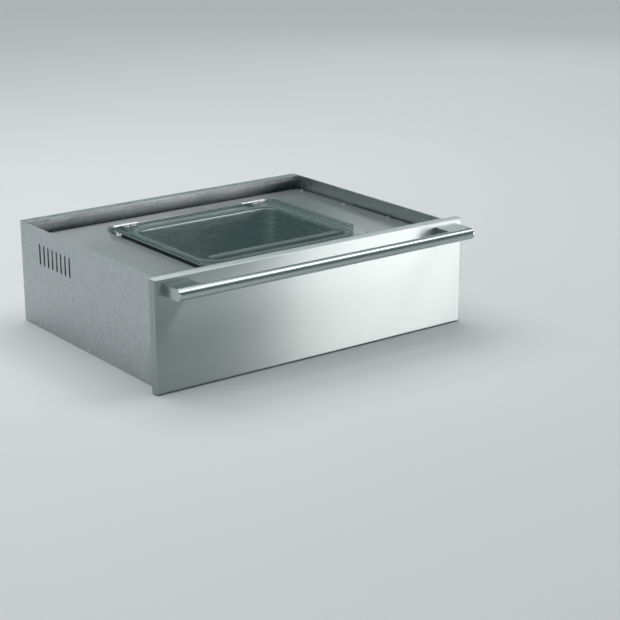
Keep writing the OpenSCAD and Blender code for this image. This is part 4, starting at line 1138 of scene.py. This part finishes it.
class DRAWER_OT_seal(PieceOperator, bpy.types.Operator):
    """Models the silicone seal with its foot, lips and round bead"""
    bl_idname = "drawer.seal"
    bl_label = "Chamber Seal"

    def build(self):
        own = settings().chamber
        low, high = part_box("chamber_seal")
        outer = own.rim - (low.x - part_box("chamber")[0].x)
        inner = outer - own.foot
        middle = (inner + outer) / 2
        base, shoulder, bead = low.z, low.z + 2.5 * MM, own.bead
        toe, lip = 0.6 * MM, 0.7 * MM
        profile = [(inner + 0.5 * MM, base), (outer - 0.5 * MM, base)]
        profile += arc((outer - toe, base + toe), toe, -60, 0, 2)
        profile += arc((outer - lip, shoulder - lip), lip, 0, 80, 3)
        profile += [(middle + bead * 1.05, shoulder + 0.15 * MM)]
        profile += arc((middle, high.z - bead), bead, 10, 170, 12)
        profile += [(middle - bead * 1.05, shoulder + 0.15 * MM)]
        profile += arc((inner + lip, shoulder - lip), lip, 100, 180, 3)
        profile += arc((inner + toe, base + toe), toe, 180, 240, 2)
        mesh = bmesh.new()
        add_rings(mesh, [chamber_ring(*point) for point in profile], looped=True)
        add_piece("lid_seal", mesh, silicone, "drawer", ("chamber_seal",), 60)


class DRAWER_OT_chamber_fittings(PieceOperator, bpy.types.Operator):
    """Finishes the suction filter, the vent valve, their nuts and the piston sleeves"""
    bl_idname = "drawer.chamber_fittings"
    bl_label = "Chamber Fittings"

    def build(self):
        dress("suction_filter", bright_steel, 0.4 * MM)
        dress("port_nuts", bright_steel, 0.4 * MM)
        dress("vent_valve", black_plastic, 0.5 * MM)
        dress("piston_sleeves", black_plastic, 0.6 * MM)


class DRAWER_OT_seal_bar(PieceOperator, bpy.types.Operator):
    """Finishes the seal bar and lays the release film over its heating band"""
    bl_idname = "drawer.seal_bar"
    bl_label = "Seal Bar"

    def build(self):
        dress("seal_bar", black_plastic, 0.8 * MM)
        dress("heating_strip", heating_brass, 0.15 * MM)
        low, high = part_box("seal_bar")
        band_low, band_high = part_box("heating_strip")
        half = 7.5 * MM
        slope = 1.5 * MM
        lift = 0.02 * MM
        end_gap = 1 * MM
        film = settings().chamber.film
        middle = (low.y + high.y) / 2
        crown = band_high.z + lift
        foot = high.z + lift
        band = (band_high.y - band_low.y) / 2 + 0.1 * MM
        path = [(-half, foot), (-band - slope, foot), (-band, crown), (band, crown),
                (band + slope, foot), (half, foot)]
        across = path + [(y, z + film) for y, z in reversed(path)]
        rings = [[(x, middle + y, z) for y, z in across]
                 for x in (low.x + end_gap, high.x - end_gap)]
        mesh = bmesh.new()
        add_rings(mesh, rings)
        add_piece("film_strip", mesh, release_film, "seal_bar")


# Lid, hinge and controls


def add_plate(mesh, outline, low, high):
    """A thin plate with the outline's shape between two heights."""
    add_rings(mesh, [[(x, y, z) for x, y in outline] for z in (low, high)])


def circle_points(x, y, radius, count=32, start=0.0):
    """Points round a circle, or the corners of a regular shape."""
    turn = 2 * math.pi / count
    return [(x + radius * math.cos(start + k * turn), y + radius * math.sin(start + k * turn))
            for k in range(count)]


def box_points(x, y, half_width, half_depth):
    """The corners of a rectangle round its middle."""
    return [(x - half_width, y - half_depth), (x + half_width, y - half_depth),
            (x + half_width, y + half_depth), (x - half_width, y + half_depth)]


def add_hoop(mesh, x, y, radius, width, low, high):
    """A thin printed ring."""
    outer, inner = circle_points(x, y, radius), circle_points(x, y, radius - width)
    add_rings(mesh, [[(px, py, z) for px, py in edge] for edge, z in
                     ((outer, low), (outer, high), (inner, high), (inner, low))], looped=True)


class DRAWER_OT_lid(PieceOperator, bpy.types.Operator):
    """Finishes the glass lid, its printed line, its arms, screws and counter bar"""
    bl_idname = "drawer.lid"
    bl_label = "Glass Lid"

    def build(self):
        own = settings().glass
        dress("glass_lid", clear_glass, own.arris)
        dress("lid_arms", hinge_metal, 0.5 * MM)
        dress("counter_bar", silicone, 0.9 * MM)
        low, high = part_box("glass_lid")
        middle = (low + high) / 2
        inside = 0.05 * MM
        tightest = 4 * MM
        rings = []
        for inset, height in ((0.0, 0.0), (0.0, own.print_t), (own.border, own.print_t),
                              (own.border, 0.0)):
            gap = own.border_inset + inset
            outline = round_rect(high.x - low.x - 2 * gap, high.y - low.y - 2 * gap,
                                 max(own.corner - gap, tightest), settings().rim_steps)
            level = low.z + inside + height
            rings.append([(middle.x + x, middle.y + y, level) for x, y in outline])
        mesh = bmesh.new()
        add_rings(mesh, rings, looped=True)
        add_piece("lid_border_print", mesh, control_glass, "lid")
        remake_solids("lid_screws", "lid_pan_screws", add_screw, "lid")


class DRAWER_OT_hinge(PieceOperator, bpy.types.Operator):
    """Finishes the hinge blocks and their shaft"""
    bl_idname = "drawer.hinge"
    bl_label = "Hinge"

    def build(self):
        dress("hinge_blocks", hinge_metal, 0.5 * MM)
        dress("hinge_shaft", bright_steel, 0.5 * MM)


class DRAWER_OT_controls(PieceOperator, bpy.types.Operator):
    """Finishes the touch glass and prints its plain marks"""
    bl_idname = "drawer.controls"
    bl_label = "Controls"

    def build(self):
        dress("control_panel", control_glass, 0.7 * MM)
        dress("control_board", circuit_board)
        low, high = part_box("control_panel")
        y = (low.y + high.y) / 2
        base = high.z + 0.005 * MM
        layer = (base, base + settings().glass.print_t)
        end, group, step = 180 * MM, 100 * MM, 26 * MM
        mesh = bmesh.new()
        # On and off with a bar at the left end, stop with a square at the right end.
        for x in (-end, end):
            add_hoop(mesh, x, y, 7 * MM, 0.7 * MM, *layer)
        add_plate(mesh, box_points(-end, y + 2.25 * MM, 0.4 * MM, 2.25 * MM), *layer)
        add_plate(mesh, box_points(end, y, 2.2 * MM, 2.2 * MM), *layer)
        # Start with a triangle in the middle.
        add_hoop(mesh, 0.0, y, 10 * MM, 0.8 * MM, *layer)
        add_plate(mesh, circle_points(0.0, y, 4.5 * MM, 3, math.pi / 2), *layer)
        # Three levels each side, with one to three dots at the left and bars at the right.
        for side in (-1, 1):
            for level in range(3):
                x = side * group + (level - 1) * step
                add_hoop(mesh, x, y, 8 * MM, 0.6 * MM, *layer)
                add_plate(mesh, circle_points(x, y + 13 * MM, 0.8 * MM, 16), *layer)
                for mark in range(level + 1):
                    shift = (mark - level / 2) * 3.2 * MM
                    if side < 0:
                        outline = circle_points(x + shift, y, 1.0 * MM, 20)
                    else:
                        outline = box_points(x, y + shift, 3.6 * MM, 0.5 * MM)
                    add_plate(mesh, outline, *layer)
        add_piece("touch_marks", mesh, printed_marks, "drawer")


# Pump and electrics


class DRAWER_OT_pump(PieceOperator, bpy.types.Operator):
    """Finishes the pump, its fan, mounts, muffler and hose"""
    bl_idname = "drawer.pump"
    bl_label = "Pump"

    def build(self):
        dress("pump_head", pump_casting, 0.8 * MM)
        dress("pump_motor", pump_casting, 0.4 * MM)
        dress("pump_base", sheet_steel, settings().sheet.fold)
        dress("pump_mounts", rubber, 0.4 * MM)
        dress("pump_fan", pale_plastic, 0.3 * MM)
        dress("exhaust_muffler", black_plastic, 0.4 * MM)
        dress("suction_hose", rubber)


class DRAWER_OT_electrics(PieceOperator, bpy.types.Operator):
    """Finishes the transformer and the power board"""
    bl_idname = "drawer.electrics"
    bl_label = "Electrics"

    def build(self):
        dress("transformer", winding)
        dress("power_board", circuit_board)


OPERATORS = (
    DRAWER_OT_studio, DRAWER_OT_front, DRAWER_OT_handle, DRAWER_OT_housing, DRAWER_OT_rivets,
    DRAWER_OT_cable_gland, DRAWER_OT_slides, DRAWER_OT_tub, DRAWER_OT_deck_screws,
    DRAWER_OT_chamber, DRAWER_OT_seal, DRAWER_OT_chamber_fittings, DRAWER_OT_seal_bar,
    DRAWER_OT_lid, DRAWER_OT_hinge, DRAWER_OT_controls, DRAWER_OT_pump, DRAWER_OT_electrics,
)


class DRAWER_PT_pieces(bpy.types.Panel):
    """Lists the drawer's pieces and its sizes"""
    bl_idname = "DRAWER_PT_pieces"
    bl_label = "Vacuum Drawer"
    bl_space_type = "VIEW_3D"
    bl_region_type = "UI"
    bl_category = "Vacuum Drawer"

    def draw(self, context):
        own = context.scene.vacuum_drawer
        for group in (own.front, own.sheet, own.chamber, own.glass, own.studio):
            box = self.layout.box()
            for name in group.__annotations__:
                box.prop(group, name)
        for operator in OPERATORS:
            self.layout.operator(operator.bl_idname)


CLASSES = (
    FrontSettings, SheetSettings, ChamberSettings, GlassSettings, StudioSettings,
    DrawerSettings, *OPERATORS, DRAWER_PT_pieces,
)


def register():
    """Adds the sizes, the operators and the panel to Blender."""
    for part in CLASSES:
        bpy.utils.register_class(part)
    bpy.types.Scene.vacuum_drawer = PointerProperty(type=DrawerSettings)


def unregister():
    """Takes them out again."""
    del bpy.types.Scene.vacuum_drawer
    for part in reversed(CLASSES):
        bpy.utils.unregister_class(part)


def main():
    """Builds every piece."""
    register()
    for operator in OPERATORS:
        group, name = operator.bl_idname.split(".")
        getattr(getattr(bpy.ops, group), name)()
    bpy.context.view_layer.update()


if __name__ == "__main__":
    main()
